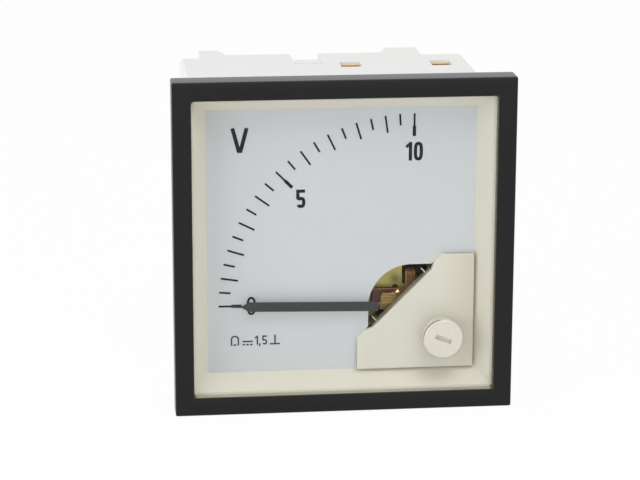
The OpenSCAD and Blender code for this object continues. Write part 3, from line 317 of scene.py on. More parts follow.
def pocketShade(top, slope):
    # painted shade: walls of the clamp pockets, from a depth below the case's top and bottom faces, going from
    # pale ochre to dark brown the deeper they lie
    def formula(do, x, y, z):
        height = do("ABSOLUTE", z)
        below = unit(do, do("MULTIPLY", do("SUBTRACT", top, height), slope))
        wall = do("GREATER_THAN", do("SUBTRACT", height, pocket["floor"]), 0.0)
        inside = do("MULTIPLY", do("LESS_THAN", do("ABSOLUTE", x), pocket["side"]),
                    do("LESS_THAN", y, pocket["end"]))
        return do("MULTIPLY", do("MULTIPLY", below, wall), inside)
    return formula


board = dict(lean=0.0227, top=2.24 * mm, fade=30000.0)


def boardEdgeHighlight(do, x, y, z):
    # painted highlight: the lit upper edge of the board, which leans with the pointer at rest
    lifted = do("ADD", z, do("MULTIPLY", do("SUBTRACT", x, pivot.x), board["lean"]))
    return ramp(do, lifted, pivot.z + board["top"], board["fade"])


slopes = dict(start=28.6 * mm, fade=8000.0, mitre=20000.0)


def lowSlopeShade(do, x, y, z):
    # painted shade: the surround's lower slope up to its mitres, a little less bright
    mitre = do("MULTIPLY", do("ADD", z, do("ABSOLUTE", x)), -slopes["mitre"])
    return do("MINIMUM", mitre, do("MULTIPLY", do("ADD", z, slopes["start"]), -slopes["fade"]))


# painted shade: the surround's right slope up to its mitres, a little less bright
def rightSlopeShade(do, x, y, z):
    mitre = do("MULTIPLY", do("SUBTRACT", x, do("ABSOLUTE", z)), slopes["mitre"])
    return do("MINIMUM", mitre, ramp(do, x, slopes["start"], slopes["fade"]))


coverShadeRamp = dict(start=21.5 * mm, slope=150.0)


def coverRightShade(do, x, y, z):
    # painted shade: the cover turns a little darker and warmer towards its right edge
    return ramp(do, x, coverShadeRamp["start"], coverShadeRamp["slope"])


spot = dict(left=3.0 * mm, up=4.1 * mm, fade=-700.0, middle=1.15, strength=0.8)


def bracketShade(do, x, y, z):
    # painted shade: a brown patch on the bracket, fading with the distance from a point beside the coil
    across = do("SUBTRACT", x, pivot.x - spot["left"])
    upright = do("SUBTRACT", z, pivot.z + spot["up"])
    distance = do("SQRT", do("ADD", do("MULTIPLY", across, across), do("MULTIPLY", upright, upright)))
    return do("MULTIPLY", do("ADD", do("MULTIPLY", distance, spot["fade"]), spot["middle"]), spot["strength"])


core = dict(face=7.3 * mm, fade=4000.0)


def coreSideLight(do, x, y, z):
    # painted light: the core's round side, behind its front face, far brighter than the face so that it shows in
    # the narrow gap
    return ramp(do, y, core["face"], core["fade"])


marked = dict(beadBack=12 * mm, signTop=-20.3 * mm, signFade=50000.0)


def beadPlace(do, x, y, z):
    # the tinned bead on the arm: the tags of the same finish are far behind it
    return do("LESS_THAN", y, marked["beadBack"])


def signPlace(do, x, y, z):
    # the small signs below the scale
    return do("MULTIPLY", do("SUBTRACT", marked["signTop"], z), marked["signFade"])


finishes = {
    "bezel_plastic": (mouldedPlastic, dict(color=tone(30, 30, 31), rough=0.34, roughShift=0.05, shift=0.08,
                                           grain=5200, depth=4e-6, cloud=60, gloss=0.16, grazing=0.85,
                                           tints=[(tone(66, 64, 42), rimEdgeReflection),
                                                  (tone(168, 164, 146), lowRimReflection)])),
    "clear_window": (clearPane, dict(color=tone(150, 156, 158), rough=0.03, roughShift=0.04, alpha=0.012,
                                     edgeAlpha=0.25, grain=60, shift=0.01, bore=4.565 * mm, boreShadeAlpha=0.07,
                                     boreShadeColor=tone(66, 60, 54))),
    "case_plastic": (mouldedPlastic, dict(color=tone(240, 239, 238), rough=0.48, roughShift=0.05, shift=0.01,
                                          grain=3600, depth=3e-6,
                                          tints=[(tone(250, 238, 208), pocketShade(31.78 * mm, 9000.0)),
                                                 (tone(246, 226, 172), pocketShade(31.5 * mm, 3000.0)),
                                                 (tone(150, 98, 36), pocketShade(31.18 * mm, 12000.0))])),
    "surround_plastic": (mouldedPlastic, dict(color=tone(226, 223, 208), rough=0.42, roughShift=0.04,
                                              shift=0.012, grain=3600, depth=2e-6, warm=0.02,
                                              tints=[(tone(218, 215, 200), rightSlopeShade),
                                                     (tone(213, 210, 194), lowSlopeShade)])),
    "cover_plastic": (mouldedPlastic, dict(color=tone(219, 217, 204), rough=0.42, roughShift=0.04,
                                           shift=0.014, grain=3600, depth=2e-6, warm=0.02,
                                           tints=[(tone(210, 205, 187), coverRightShade),
                                                  (tone(140, 136, 118), coverDeepShade)])),
    "adjuster_plastic": (mouldedPlastic, dict(color=tone(217, 212, 201), rough=0.3, roughShift=0.05,
                                              shift=0.015, grain=2600, depth=2e-6, warm=0.02,
                                              tints=[(tone(84, 76, 68), knobSideShade)])),
    "dial_paint": (mouldedPlastic, dict(color=tone(206, 210, 212), rough=0.55, roughShift=0.05, shift=0.012,
                                        grain=4800, depth=1.5e-6, cloud=40)),
    "scale_ink": (mouldedPlastic, dict(color=tone(33, 35, 38), rough=0.6, roughShift=0.08, shift=0.12,
                                       grain=5200, depth=1e-6, gloss=0.15,
                                       tints=[(tone(66, 68, 70), signPlace)])),
    "pointer_black": (mouldedPlastic, dict(color=tone(61, 63, 62), rough=0.5, roughShift=0.08, shift=0.1,
                                           grain=4200, depth=2e-6, gloss=0.25)),
    "frame_steel": (bareMetal, dict(color=tone(140, 126, 84), rough=0.5, roughShift=0.06, shift=0.2,
                                    grain=1800, depth=4e-6, metallic=0.4, cloud=420, warm=0.2)),
    "board_brown": (mouldedPlastic, dict(color=tone(111, 69, 60), rough=0.5, roughShift=0.08, shift=0.16,
                                         grain=1800, depth=3e-6, cloud=600,
                                         tints=[(tone(170, 128, 76), boardEdgeHighlight)])),
    "resistor_body": (mouldedPlastic, dict(color=tone(120, 160, 178), rough=0.3, roughShift=0.06, shift=0.06,
                                           grain=1500, depth=4e-6)),
    "wire_red": (mouldedPlastic, dict(color=tone(168, 40, 34), rough=0.36, roughShift=0.05, shift=0.06,
                                      grain=1200, depth=3e-6)),
    "jewel_red": (mouldedPlastic, dict(color=tone(150, 20, 40), rough=0.1, roughShift=0.04, shift=0.1,
                                       grain=900, depth=1e-6, gloss=0.8)),
    "bracket_olive": (bareMetal, dict(color=tone(197, 185, 113), rough=0.42, roughShift=0.08, shift=0.32,
                                      grain=1800, depth=2e-6, cloud=330, metallic=0.45, warm=0.25,
                                      tints=[(tone(126, 104, 66), bracketShade)])),
    "yoke_steel": (bareMetal, dict(color=tone(204, 190, 122), rough=0.45, roughShift=0.08, shift=0.16,
                                   grain=1500, depth=3e-6, metallic=0.55, warm=0.2)),
    "magnet_grey": (bareMetal, dict(color=tone(84, 70, 44), rough=0.5, roughShift=0.08, shift=0.14,
                                    grain=1500, depth=4e-6, metallic=0.3, stretch=(1, 1, 6),
                                    tints=[(tone(236, 218, 150), coreSideLight)])),
    "arm_brass": (bareMetal, dict(color=tone(132, 110, 69), rough=0.42, roughShift=0.08, shift=0.34,
                                  grain=2600, depth=4e-6, metallic=0.5, stretch=(0.2, 1, 3), cloud=1500,
                                  drawn=(0.12, 1, 1))),
    "lever_brass": (bareMetal, dict(color=tone(178, 150, 92), rough=0.35, roughShift=0.08, shift=0.1,
                                    grain=2400, depth=1.5e-6, stretch=(0.3, 1, 2))),
    "bridge_brass": (bareMetal, dict(color=tone(192, 160, 98), rough=0.32, roughShift=0.07, shift=0.08,
                                     grain=2400, depth=1.5e-6, stretch=(0.3, 1, 2))),
    "terminal_brass": (bareMetal, dict(color=tone(206, 178, 110), rough=0.28, roughShift=0.06, shift=0.08,
                                       grain=2000, depth=1.5e-6, warm=0.1)),
    "spring_bronze": (bareMetal, dict(color=tone(198, 150, 92), rough=0.28, roughShift=0.05, shift=0.06,
                                      grain=3000, depth=5e-7)),
    "screw_steel": (bareMetal, dict(color=tone(176, 176, 172), rough=0.32, roughShift=0.07, shift=0.08,
                                    grain=2200, depth=1.5e-6)),
    "spring_steel": (bareMetal, dict(color=tone(184, 184, 186), rough=0.25, roughShift=0.05, shift=0.06,
                                     grain=2200, depth=1e-6)),
    "washer_steel": (bareMetal, dict(color=tone(196, 196, 194), rough=0.3, roughShift=0.07, shift=0.08,
                                     grain=1800, depth=1.5e-6)),
    "tag_tinned": (bareMetal, dict(color=tone(206, 203, 192), rough=0.3, roughShift=0.08, shift=0.08,
                                   grain=1400, depth=2e-6, tints=[(tone(232, 222, 158), beadPlace)])),
    "former_aluminium": (bareMetal, dict(color=tone(176, 140, 84), rough=0.42, roughShift=0.08, shift=0.12,
                                         grain=2200, depth=1e-6, metallic=0.6)),
    "winding_copper": (woundWire, dict(color=tone(150, 112, 66), rough=0.35, shift=0.3, turns=1900,
                                       depth=2e-5)),
}
materials = {slot: make(slot, look) for slot, (make, look) in finishes.items()}
for name, node in nodes.items():
    node.data.materials.clear()
    node.data.materials.append(materials[slotOf[name]])
print("finishes:", len(materials), "on", len(nodes), "nodes")


# surfaces: points on a grid, joined into a mesh

def addPiece(name, mesh, body, slot, sharp=35, insteadOf=None):
    mesh.materials.append(materials[slot])
    mesh.shade_smooth()
    mesh.set_sharp_from_angle(angle=math.radians(sharp))
    piece = bpy.data.objects.new(name, mesh)
    bpy.context.scene.collection.objects.link(piece)
    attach(piece, body)
    if insteadOf:
        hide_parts(insteadOf)
    return piece


def gridMesh(name, grids, wrapAcross=True, wrapAlong=False):
    # each grid is [along, across, xyz]: neighbours join into quads, open ends get a cap
    verts, faces, start = [], [], 0
    for points in grids:
        n, m = points.shape[:2]
        i, j = np.meshgrid(np.arange(n if wrapAlong else n - 1),
                           np.arange(m if wrapAcross else m - 1), indexing="ij")
        i2, j2 = (i + 1) % n, (j + 1) % m
        quads = np.stack([i * m + j, i2 * m + j, i2 * m + j2, i * m + j2], -1).reshape(-1, 4) + start
        faces += quads.tolist()
        if not wrapAlong:
            faces += [(start + np.arange(m))[::-1].tolist(), (start + (n - 1) * m + np.arange(m)).tolist()]
        verts += points.reshape(-1, 3).tolist()
        start += n * m
    mesh = bpy.data.meshes.new(name)
    mesh.from_pydata(verts, [], faces)
    work = bmesh.new()
    work.from_mesh(mesh)
    bmesh.ops.remove_doubles(work, verts=work.verts, dist=1e-8)
    bmesh.ops.recalc_face_normals(work, faces=work.faces)
    work.to_mesh(mesh)
    work.free()
    return mesh


def squareLoop(half, radius, steps=7):
    # a rounded square: each corner's centre plus the radius times (cos, sin) of a quarter turn
    turn = np.linspace(0, np.pi / 2, steps)[None, :] + np.arange(4)[:, None] * np.pi / 2
    side = np.array([[1, 1], [-1, 1], [-1, -1], [1, -1]])[:, None, :] * (half - radius)
    return (side + radius * np.stack([np.cos(turn), np.sin(turn)], -1)).reshape(-1, 2)


def sweptSquare(name, profile):
    # the profile's points (half width, corner radius, y) are carried round the square
    rings = [squareLoop(h, max(r, 1e-5)) for h, r, y in profile]
    points = np.stack([np.stack([ring[:, 0], np.full(len(ring), y), ring[:, 1]], -1)
                       for ring, (h, r, y) in zip(rings, profile)], 1)
    return gridMesh(name, [points], wrapAcross=True, wrapAlong=True)


def arcPoints(centre, radius, fromDeg, toDeg, steps=5):
    # centre plus the radius times (cos, sin) of an evenly spaced angle
    a = np.radians(np.linspace(fromDeg, toDeg, steps))
    return np.stack([centre[0] + radius * np.cos(a), centre[1] + radius * np.sin(a)], -1)


copies = dict(sharp=30, steps=2, broad=1e-6, square=0.99999)


def softCopy(node, edge):
    # the node's own shape with its edges rounded off
    work = bmesh.new()
    work.from_mesh(nodes[node].data)
    bmesh.ops.remove_doubles(work, verts=work.verts, dist=2e-7)
    bmesh.ops.dissolve_limit(work, angle_limit=math.radians(0.5), verts=work.verts, edges=work.edges)
    mesh = bpy.data.meshes.new(node + ".soft")
    work.to_mesh(mesh)
    work.free()
    piece = addPiece(node + ".soft", mesh, bodyOf[node], slotOf[node], copies["sharp"], node)
    # broad faces square to an axis are shaded flat
    area, normal = np.empty(len(mesh.polygons)), np.empty(len(mesh.polygons) * 3)
    mesh.polygons.foreach_get("area", area)
    mesh.polygons.foreach_get("normal", normal)
    square = np.abs(normal.reshape(-1, 3)).max(1) > copies["square"]
    mesh.polygons.foreach_set("use_smooth", ~((area > copies["broad"]) & square))
    edges = piece.modifiers.new("edges", "BEVEL")
    edges.width = edge
    edges.segments = copies["steps"]
    edges.limit_method = "ANGLE"
    edges.angle_limit = math.radians(copies["sharp"])
    edges.harden_normals = True


# bezel: a rounded profile carried round the square

bezelLow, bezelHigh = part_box("bezel")
bezel = dict(corner=0.42 * mm, edge=0.38 * mm, innerEdge=0.18 * mm, innerCorner=0.8 * mm, wall=1.5 * mm,
             web=2.0 * mm, rim=4.0 * mm, wallCorner=0.3 * mm, tighten=0.4)
outer = bezelHigh.x
opening = outer - bezel["rim"]
front, back = bezelLow.y, bezelHigh.y
edge, innerEdge = bezel["edge"], bezel["innerEdge"]
outerFillet = arcPoints((outer - edge, front + edge), edge, 0, -90, 6)
innerFillet = arcPoints((opening + innerEdge, front + innerEdge), innerEdge, -90, -180, 4)
rows = [(half, bezel["corner"] - (outer - half) * bezel["tighten"], y) for half, y in outerFillet]
rows += [(half, bezel["innerCorner"] + (half - opening), y) for half, y in innerFillet]
rows += [(opening, bezel["innerCorner"], front + bezel["web"]),
         (outer - bezel["wall"], bezel["wallCorner"], front + bezel["web"]),
         (outer - bezel["wall"], bezel["wallCorner"], back),
         (outer, bezel["corner"], back)]
addPiece("bezel.frame", sweptSquare("bezel.frame", rows), "housing", "bezel_plastic", insteadOf="bezel")

# surround: four sloped walls with a small round at each end of the slope
lipLow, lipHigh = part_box("dial_surround")
surround = dict(land=0.6 * mm, slope=2.75 * mm, lip=2.6 * mm, insert=30.6 * mm, fold=0.12 * mm,
                lipCorner=0.4 * mm, topCorner=0.25 * mm, lowCorner=0.2 * mm, insertCorner=0.3 * mm)
topHalf = opening - surround["land"]
lowHalf = topHalf - surround["slope"]
fold = surround["fold"]
lipBack = lipLow.y + surround["lip"]
rows = [(lipHigh.x, surround["lipCorner"], lipLow.y),
        (topHalf + fold, surround["topCorner"], lipLow.y),
        (topHalf - 0.3 * fold, surround["topCorner"], lipLow.y + 0.7 * fold),
        (lowHalf + 0.6 * fold, surround["lowCorner"], lipHigh.y - fold),
        (lowHalf, surround["lowCorner"], lipHigh.y - 0.4 * fold),
        (lowHalf, surround["lowCorner"], lipHigh.y),
        (surround["insert"], surround["insertCorner"], lipHigh.y),
        (surround["insert"], surround["insertCorner"], lipBack),
        (lipHigh.x, surround["lipCorner"], lipBack)]
addPiece("surround.frame", sweptSquare("surround.frame", rows), "housing", "surround_plastic",
         insteadOf="dial_surround")
print("bezel and surround done")

# mouldings and stampings that keep their shape, with soft edges
softEdges = {"case": 0.22, "corner_cover": 0.4, "zero_adjuster": 0.12, "pointer": 0.04, "pointer_arm": 0.05,
             "dial_plate": 0.06, "core_bracket": 0.08, "yoke_ring": 0.15, "core_magnet": 0.15,
             "movement_frame": 0.2, "movement_base": 0.2, "balance_weight": 0.08, "front_bridge": 0.08,
             "rear_bridge": 0.08, "carrier_plate": 0.03, "zero_lever": 0.03,
             "terminal_washers": 0.1, "terminal_tags": 0.06, "frame_screws": 0.08, "base_screws": 0.08}
for node, edge in softEdges.items():
    softCopy(node, edge * mm)
print("soft edges done:", len(softEdges))


# printed numerals and signs: ribbons laid on the dial

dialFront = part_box("scale_print")[1].y
ink = dict(height=0.03 * mm, stagger=6e-7, levels=9)
ribbonCount = itertools.count(1)


def inkRibbon(path, width, closed=False):
    # a flat bar carried along the path: its sides are the path moved by half the width along the mitred
    # normal; neighbouring ribbons differ by a hair in height, so that crossings don't flicker
    p = np.asarray(path, float) * mm
    w = width * mm / 2
    step = (np.roll(p, -1, 0) - p) if closed else np.diff(p, axis=0)
    n = np.stack([-step[:, 1], step[:, 0]], -1)
    n /= np.linalg.norm(n, axis=1)[:, None]
    before = np.roll(n, 1, 0) if closed else np.vstack([n[:1], n])
    after = n if closed else np.vstack([n, n[-1:]])
    side = before + after
    side /= (side * before).sum(1)[:, None]
    lift = ink["height"] + (next(ribbonCount) % ink["levels"]) * ink["stagger"]
    left, right = p + side * w, p - side * w
    ring = [(left, 0), (right, 0), (right, -lift), (left, -lift)]
    points = np.stack([np.stack([q[:, 0], np.full(len(q), dialFront + y), q[:, 1]], -1) for q, y in ring], 1)
    return points, closed


def inkPiece(name, ribbons):
    meshes = [gridMesh(name, [pts], wrapAcross=True, wrapAlong=closed) for pts, closed in ribbons]
    whole = bmesh.new()
    for part in meshes:
        whole.from_mesh(part)
        bpy.data.meshes.remove(part)
    mesh = bpy.data.meshes.new(name)
    whole.to_mesh(mesh)
    whole.free()
    addPiece(name, mesh, "housing", "scale_ink")


def superLoop(cx, cz, a, b, power=2.6, fromDeg=0, toDeg=360, steps=40):
    # superellipse: cos and sin raised to 2/power, times the half width and half height
    t = np.radians(np.linspace(fromDeg, toDeg, steps, endpoint=toDeg - fromDeg < 360))
    c, s = np.cos(t), np.sin(t)
    return np.stack([cx + a * np.sign(c) * np.abs(c) ** (2 / power),
                     cz + b * np.sign(s) * np.abs(s) ** (2 / power)], -1)


def digitZero(x, z, width, height, stroke, power=3.0):
    # one closed superellipse
    return [inkRibbon(superLoop(x, z, (width - stroke) / 2, (height - stroke) / 2, power), stroke, True)]


def digitOne(right, z, width, height, stroke):
    # a stem and a flag that falls to the left
    stem = right - stroke / 2
    top = z + height / 2
    flag = [(right - width + stroke * 0.1, top - height * 0.27), (stem, top - stroke * 0.45)]
    return [inkRibbon([(stem, z - height / 2), (stem, top)], stroke), inkRibbon(flag, stroke * 0.9)]


def digitFive(x, z, width, height, stroke):
    # a bar with its upright, and an open superellipse for the bowl
    a, low = (width - stroke) / 2, z - height / 2
    bowl = height * 0.6
    bar = [(x + a + stroke * 0.4, z + height / 2 - stroke / 2), (x - a, z + height / 2 - stroke / 2),
           (x - a, low + bowl - stroke * 0.55)]
    curve = superLoop(x, low + bowl / 2, a, (bowl - stroke) / 2, 2.8, 150, -150, 30)
    return [inkRibbon(bar, stroke), inkRibbon(curve, stroke)]


numerals = dict(stroke=0.7, narrow=1.35, wide=1.95, height=4.0, tenHeight=4.02, tenZ=19.11)
bar = numerals["stroke"]
inkPiece("numeral.zero", digitZero(-19.32, -13.92, 2.06, 4.06, 0.5, 2.3))
inkPiece("numeral.five", digitFive(-8.73, 9.36, numerals["wide"], numerals["height"], bar))
inkPiece("numeral.ten", digitOne(14.86, numerals["tenZ"], numerals["narrow"], numerals["tenHeight"], bar)
         + digitZero(16.2, numerals["tenZ"], numerals["wide"], numerals["tenHeight"], bar))

volts = dict(stroke=0.83, foot=0.4, top=24.85, low=19.65)
inkPiece("letter.volts", [inkRibbon([(-23.1, volts["top"]), (-21.72, volts["low"])], volts["stroke"]),
                          inkRibbon([(-20.1, volts["top"]), (-21.48, volts["low"])], volts["stroke"]),
                          inkRibbon([(-22.11, 19.75), (-21.09, 19.75)], volts["foot"])])

# the signs, from left to right: moving coil, direct current, class, used upright
signs = dict(stroke=0.32, dashes=3, dashStep=0.8, dash=0.55, classHeight=2.04, classZ=-21.6)
line = signs["stroke"]
arch = superLoop(-22.87, -21.35, 0.73, 0.72, 2.2, 180, 0, 18)
arch = np.vstack([[(-23.6, -22.68)], arch, [(-22.14, -22.68)]])
inkPiece("sign.movingCoil", [inkRibbon(arch, line), inkRibbon([(-23.2, -22.55), (-22.54, -22.55)], line)])
dashes = [-21.23 + signs["dashStep"] * i for i in range(signs["dashes"])]
inkPiece("sign.direct", [inkRibbon([(-21.23, -21.83), (-19.05, -21.83)], line)]
         + [inkRibbon([(x, -22.53), (x + signs["dash"], -22.53)], line) for x in dashes])
inkPiece("sign.class", digitOne(-17.9, signs["classZ"], 0.75, signs["classHeight"], line)
         + [inkRibbon([(-17.5, -22.35), (-17.62, -22.95)], line)]
         + digitFive(-16.5, signs["classZ"], 1.05, signs["classHeight"], line))
inkPiece("sign.upright", [inkRibbon([(-15.39, -22.5), (-13.19, -22.5)], line),
                          inkRibbon([(-14.27, -22.5), (-14.27, -20.47)], line)])
print("dial print done")


# terminals: threads and chamfered nuts

terminal = dict(pitch=0.7 * mm, radius=2.0 * mm, bore=2.02 * mm, point=1.6 * mm, free=4.0 * mm,
                flats=7.0 * mm, head=2.4 * mm, nut=3.2 * mm, nuts=2, cone=1.73, shy=0.985,
                countersink=0.15 * mm, thread=0.55, taper=0.4 * mm, tip=0.35 * mm)


def hexNut(centre, yFrom, yTo, bore):
    # outside: the nearer of a hexagon, half the flats over cos of the angle off a flat, and a 30 degree cone
    half = terminal["flats"] / 2
    turn = np.linspace(0, 2 * np.pi, 97)[:-1]
    hexagon = half / np.cos((turn + np.pi / 6) % (np.pi / 3) - np.pi / 6)
    depth = np.array([0, 0.12, 0.25, 0.4, 0.6]) * mm
    near = np.concatenate([depth, depth[::-1]])
    outside = [np.minimum(hexagon, half * terminal["shy"] + d * terminal["cone"]) for d in near]
    # a nut's rings go back through its bore; a head's close at the middle of each face
    sink = terminal["countersink"]
    inside = [(0, yFrom), (0, yTo)]
    if bore is not None:
        inside = [(bore + sink, yFrom), (bore + sink, yTo), (bore, yTo - sink), (bore, yFrom + sink)]
    levels = [inside[0][1], *(yFrom + depth), *(yTo - depth)[::-1], *[y for r, y in inside[1:]]]
    rings = [np.full_like(turn, inside[0][0]), *outside, *[np.full_like(turn, r) for r, y in inside[1:]]]
    cos, sin = np.cos(turn), np.sin(turn)
    return np.stack([np.stack([centre.x + r * cos, np.full_like(turn, y), centre.z + r * sin], -1)
                     for r, y in zip(rings, levels)], 0)


def threadedRod(centre, yFrom, yTo):
    # the radius falls by a triangle wave of y / pitch minus the share of a turn, and tapers in at the tip
    radius, pitch, point = terminal["radius"], terminal["pitch"], terminal["point"]
    turn = np.linspace(0, 2 * np.pi, 41)[:-1]
    y = np.linspace(yFrom, yTo, int((yTo - yFrom) / pitch * 8))
    phase = (y[:, None] / pitch - turn[None, :] / (2 * np.pi)) % 1
    r = radius - terminal["thread"] * pitch * np.abs(2 * phase - 1)
    plainFrom = yTo - terminal["free"]
    r = np.minimum(r, np.maximum(point, radius - (y - plainFrom)[:, None]))
    r = np.where(y[:, None] > plainFrom + terminal["taper"], point, r)
    r = np.minimum(r, point - terminal["tip"] + np.maximum(yTo - y, 0)[:, None])
    return np.stack([centre.x + r * np.cos(turn), np.broadcast_to(y[:, None], r.shape),
                     centre.z + r * np.sin(turn)], -1)


studLow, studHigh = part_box("terminal_studs")
nutLow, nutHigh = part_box("terminal_nuts")
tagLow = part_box("terminal_tags")[0]
hexHalf = terminal["flats"] / math.sqrt(3)
studZ = (studLow.z + studHigh.z) / 2
nutStep = nutHigh.y - nutLow.y - terminal["nut"]
nutGrids, rodGrids, headGrids = [], [], []
for x in (studLow.x + hexHalf, studHigh.x - hexHalf):
    place = Vector((x, 0, studZ))
    rodGrids.append(threadedRod(place, tagLow.y - 0.1 * mm, studHigh.y))
    headGrids.append(hexNut(place, studLow.y, studLow.y + terminal["head"], None))
    for k in range(terminal["nuts"]):
        nutFront = nutLow.y + k * nutStep
        nutGrids.append(hexNut(place, nutFront, nutFront + terminal["nut"], terminal["bore"]))
addPiece("terminal.nuts", gridMesh("terminal.nuts", nutGrids, wrapAlong=True), "housing", "terminal_brass",
         insteadOf="terminal_nuts")
addPiece("terminal.threads", gridMesh("terminal.threads", rodGrids), "housing", "terminal_brass", 60,
         "terminal_studs")
addPiece("terminal.heads", gridMesh("terminal.heads", headGrids), "housing", "terminal_brass")
print("terminals done")


# movement: hairsprings, coil, its lead and the arm's details

springs = dict(turns=4.5, thick=0.12 * mm, inner=0.97 * mm,
               front=dict(node="front_hairspring", outer=2.99 * mm, end=32),
               rear=dict(node="rear_hairspring", outer=5.0 * mm, end=120))


def springRibbon(outerRadius, endDeg, yFrom, yTo):
    # radius grows evenly with the angle; a thin upright section follows it
    turns, inner, half = springs["turns"], springs["inner"], springs["thick"] / 2
    t = np.linspace(0, 1, int(turns * 72))
    a = np.radians(endDeg - 360 * turns * (1 - t))
    r = inner + (outerRadius - inner) * t
    ring = [(r - half, yFrom), (r + half, yFrom), (r + half, yTo), (r - half, yTo)]
    return np.stack([np.stack([pivot.x + q * np.cos(a), np.full_like(a, y), pivot.z + q * np.sin(a)], -1)
                     for q, y in ring], 1)


for side in ("front", "rear"):
    spring = springs[side]
    low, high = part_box(spring["node"])
    grid = springRibbon(spring["outer"], spring["end"], low.y, high.y)
    addPiece(side + ".spring", gridMesh(side + ".spring", [grid]), "moving_coil", "spring_bronze",
             insteadOf=spring["node"])


def tube(path, radius, sides=12):
    # a circle carried along the path, square to its tangent
    p = np.asarray(path, float)
    t = np.gradient(p, axis=0)
    t /= np.linalg.norm(t, axis=1)[:, None]
    u = np.cross(t, [0.2, 1, 0.1])
    u /= np.linalg.norm(u, axis=1)[:, None]
    v = np.cross(t, u)
    a = np.linspace(0, 2 * np.pi, sides + 1)[:-1]
    around = np.cos(a)[None, :, None] * u[:, None, :] + np.sin(a)[None, :, None] * v[:, None, :]
    return p[:, None, :] + radius * around


def bezier(a, b, c, d, steps=24):
    # cubic curve: (1-t)^3 a + 3(1-t)^2 t b + 3(1-t) t^2 c + t^3 d
    t = np.linspace(0, 1, steps)[:, None]
    a, b, c, d = (np.asarray(q, float) for q in (a, b, c, d))
    return (1 - t) ** 3 * a + 3 * (1 - t) ** 2 * t * b + 3 * (1 - t) * t * t * c + t ** 3 * d


def turned(points, degrees):
    # turn about the pivot's Y axis: x cos + z sin, z cos - x sin
    a = math.radians(degrees)
    p = np.asarray(points, float) - np.array(pivot)
    x, y, z = p[..., 0], p[..., 1], p[..., 2]
    spun = [x * math.cos(a) + z * math.sin(a), y, z * math.cos(a) - x * math.sin(a)]
    return np.stack(spun, -1) + np.array(pivot)


coilLow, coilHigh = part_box("coil_winding")
coil = dict(rest=1.3, outer=7.1 * mm, corner=1.8 * mm, wall=0.95 * mm, half=1.0 * mm, cheek=0.16 * mm,
            wire=0.085 * mm, turns=9, thick=1.2 * mm, shy=0.08 * mm)


def coilPath(half, yFrom, yTo, radius, steps=8):
    # the rounded rectangle that goes round the core: y and z of each corner's quarter circle
    near, far, up = yFrom + radius, yTo - radius, half - radius
    corners = [(far, up), (near, up), (near, -up), (far, -up)]
    arcs = [arcPoints(at, radius, 90 * k, 90 * (k + 1), steps) for k, at in enumerate(corners)]
    return np.concatenate(arcs)


def outwards(path):
    # unit normals of a closed path, square to the line from the point before to the point after
    ahead = np.roll(path, -1, 0) - np.roll(path, 1, 0)
    normal = np.stack([ahead[:, 1], -ahead[:, 0]], -1)
    normal /= np.linalg.norm(normal, axis=1)[:, None]
    return normal * np.sign(((path - path.mean(0)) * normal).sum(1))[:, None]


def roundCoil(path, xFrom, xTo, inward, lift):
    # a flat band round the coil: the path lifted, and the same path moved inwards by its thickness
    normal = outwards(path)
    out, inside = path + normal * lift, path - normal * inward
    ring = [(out, xFrom), (out, xTo), (inside, xTo), (inside, xFrom)]
    grid = np.stack([np.stack([np.full(len(q), pivot.x + x), q[:, 0], pivot.z + q[:, 1]], -1)
                     for q, x in ring], 1)
    return turned(grid, coil["rest"])


def oneTurn(path, x, sides=8):
    # a wire round the coil: a circle whose outermost point lies on the path
    turn = np.linspace(0, 2 * np.pi, sides + 1)[:-1]
    q = path[:, None, :] + outwards(path)[:, None, :] * ((np.cos(turn) - 1) * coil["wire"])[None, :, None]
    wireX = np.broadcast_to(pivot.x + x + coil["wire"] * np.sin(turn), q.shape[:2])
    return turned(np.stack([wireX, q[..., 0], pivot.z + q[..., 1]], -1), coil["rest"])


outerPath = coilPath(coil["outer"], coilLow.y, coilHigh.y, coil["corner"])
inner = coil["half"] - coil["cheek"]
former = [roundCoil(outerPath, -coil["half"], -inner, coil["thick"], -coil["shy"]),
          roundCoil(outerPath, inner, coil["half"], coil["thick"], -coil["shy"]),
          roundCoil(outerPath, -coil["half"], coil["half"], coil["thick"], -coil["wall"])]
addPiece("coil.former", gridMesh("coil.former", former, wrapAlong=True), "moving_coil", "former_aluminium",
         insteadOf="coil_former")
loops = [roundCoil(outerPath, -inner, inner, coil["wall"], -coil["wire"])]
wirePlaces = np.linspace(coil["wire"] - inner, inner - coil["wire"], coil["turns"])
loops += [oneTurn(outerPath, x) for x in wirePlaces]
addPiece("coil.turns", gridMesh("coil.turns", loops, wrapAlong=True), "moving_coil", "winding_copper", 60,
         "coil_winding")

# the lead from the arm's bead to the coil: places from the pivot, and the pull of the curve at each end
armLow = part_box("pointer_arm")[0]
lead = dict(radius=0.16 * mm, onArm=(-2.78, 1.95), atCoil=(-0.35, 2.3), proud=0.05 * mm, clear=0.12 * mm,
            leave=(0.9, -0.1, 0.1), arrive=(-0.9, -0.3, -0.1))
bead = dict(radius=0.55 * mm, flat=0.55)


def fromPivot(place, y):
    # the pivot plus a place in X and Z in millimetres, and a step along Y in metres
    return np.array(pivot) + np.array([place[0], 0, place[1]]) * mm + [0, y, 0]


def solderBead(at, radius):
    # a ball flattened along Y: sin and cos of latitude and longitude
    lat = np.linspace(-np.pi / 2, np.pi / 2, 14)[1:-1, None]
    lon = np.linspace(0, 2 * np.pi, 25)[None, :-1]
    x = at[0] + radius * np.cos(lat) * np.cos(lon)
    y = at[1] + bead["flat"] * radius * np.sin(lat) + 0 * lon
    z = at[2] + radius * np.cos(lat) * np.sin(lon)
    return np.stack([x, y, z], -1)


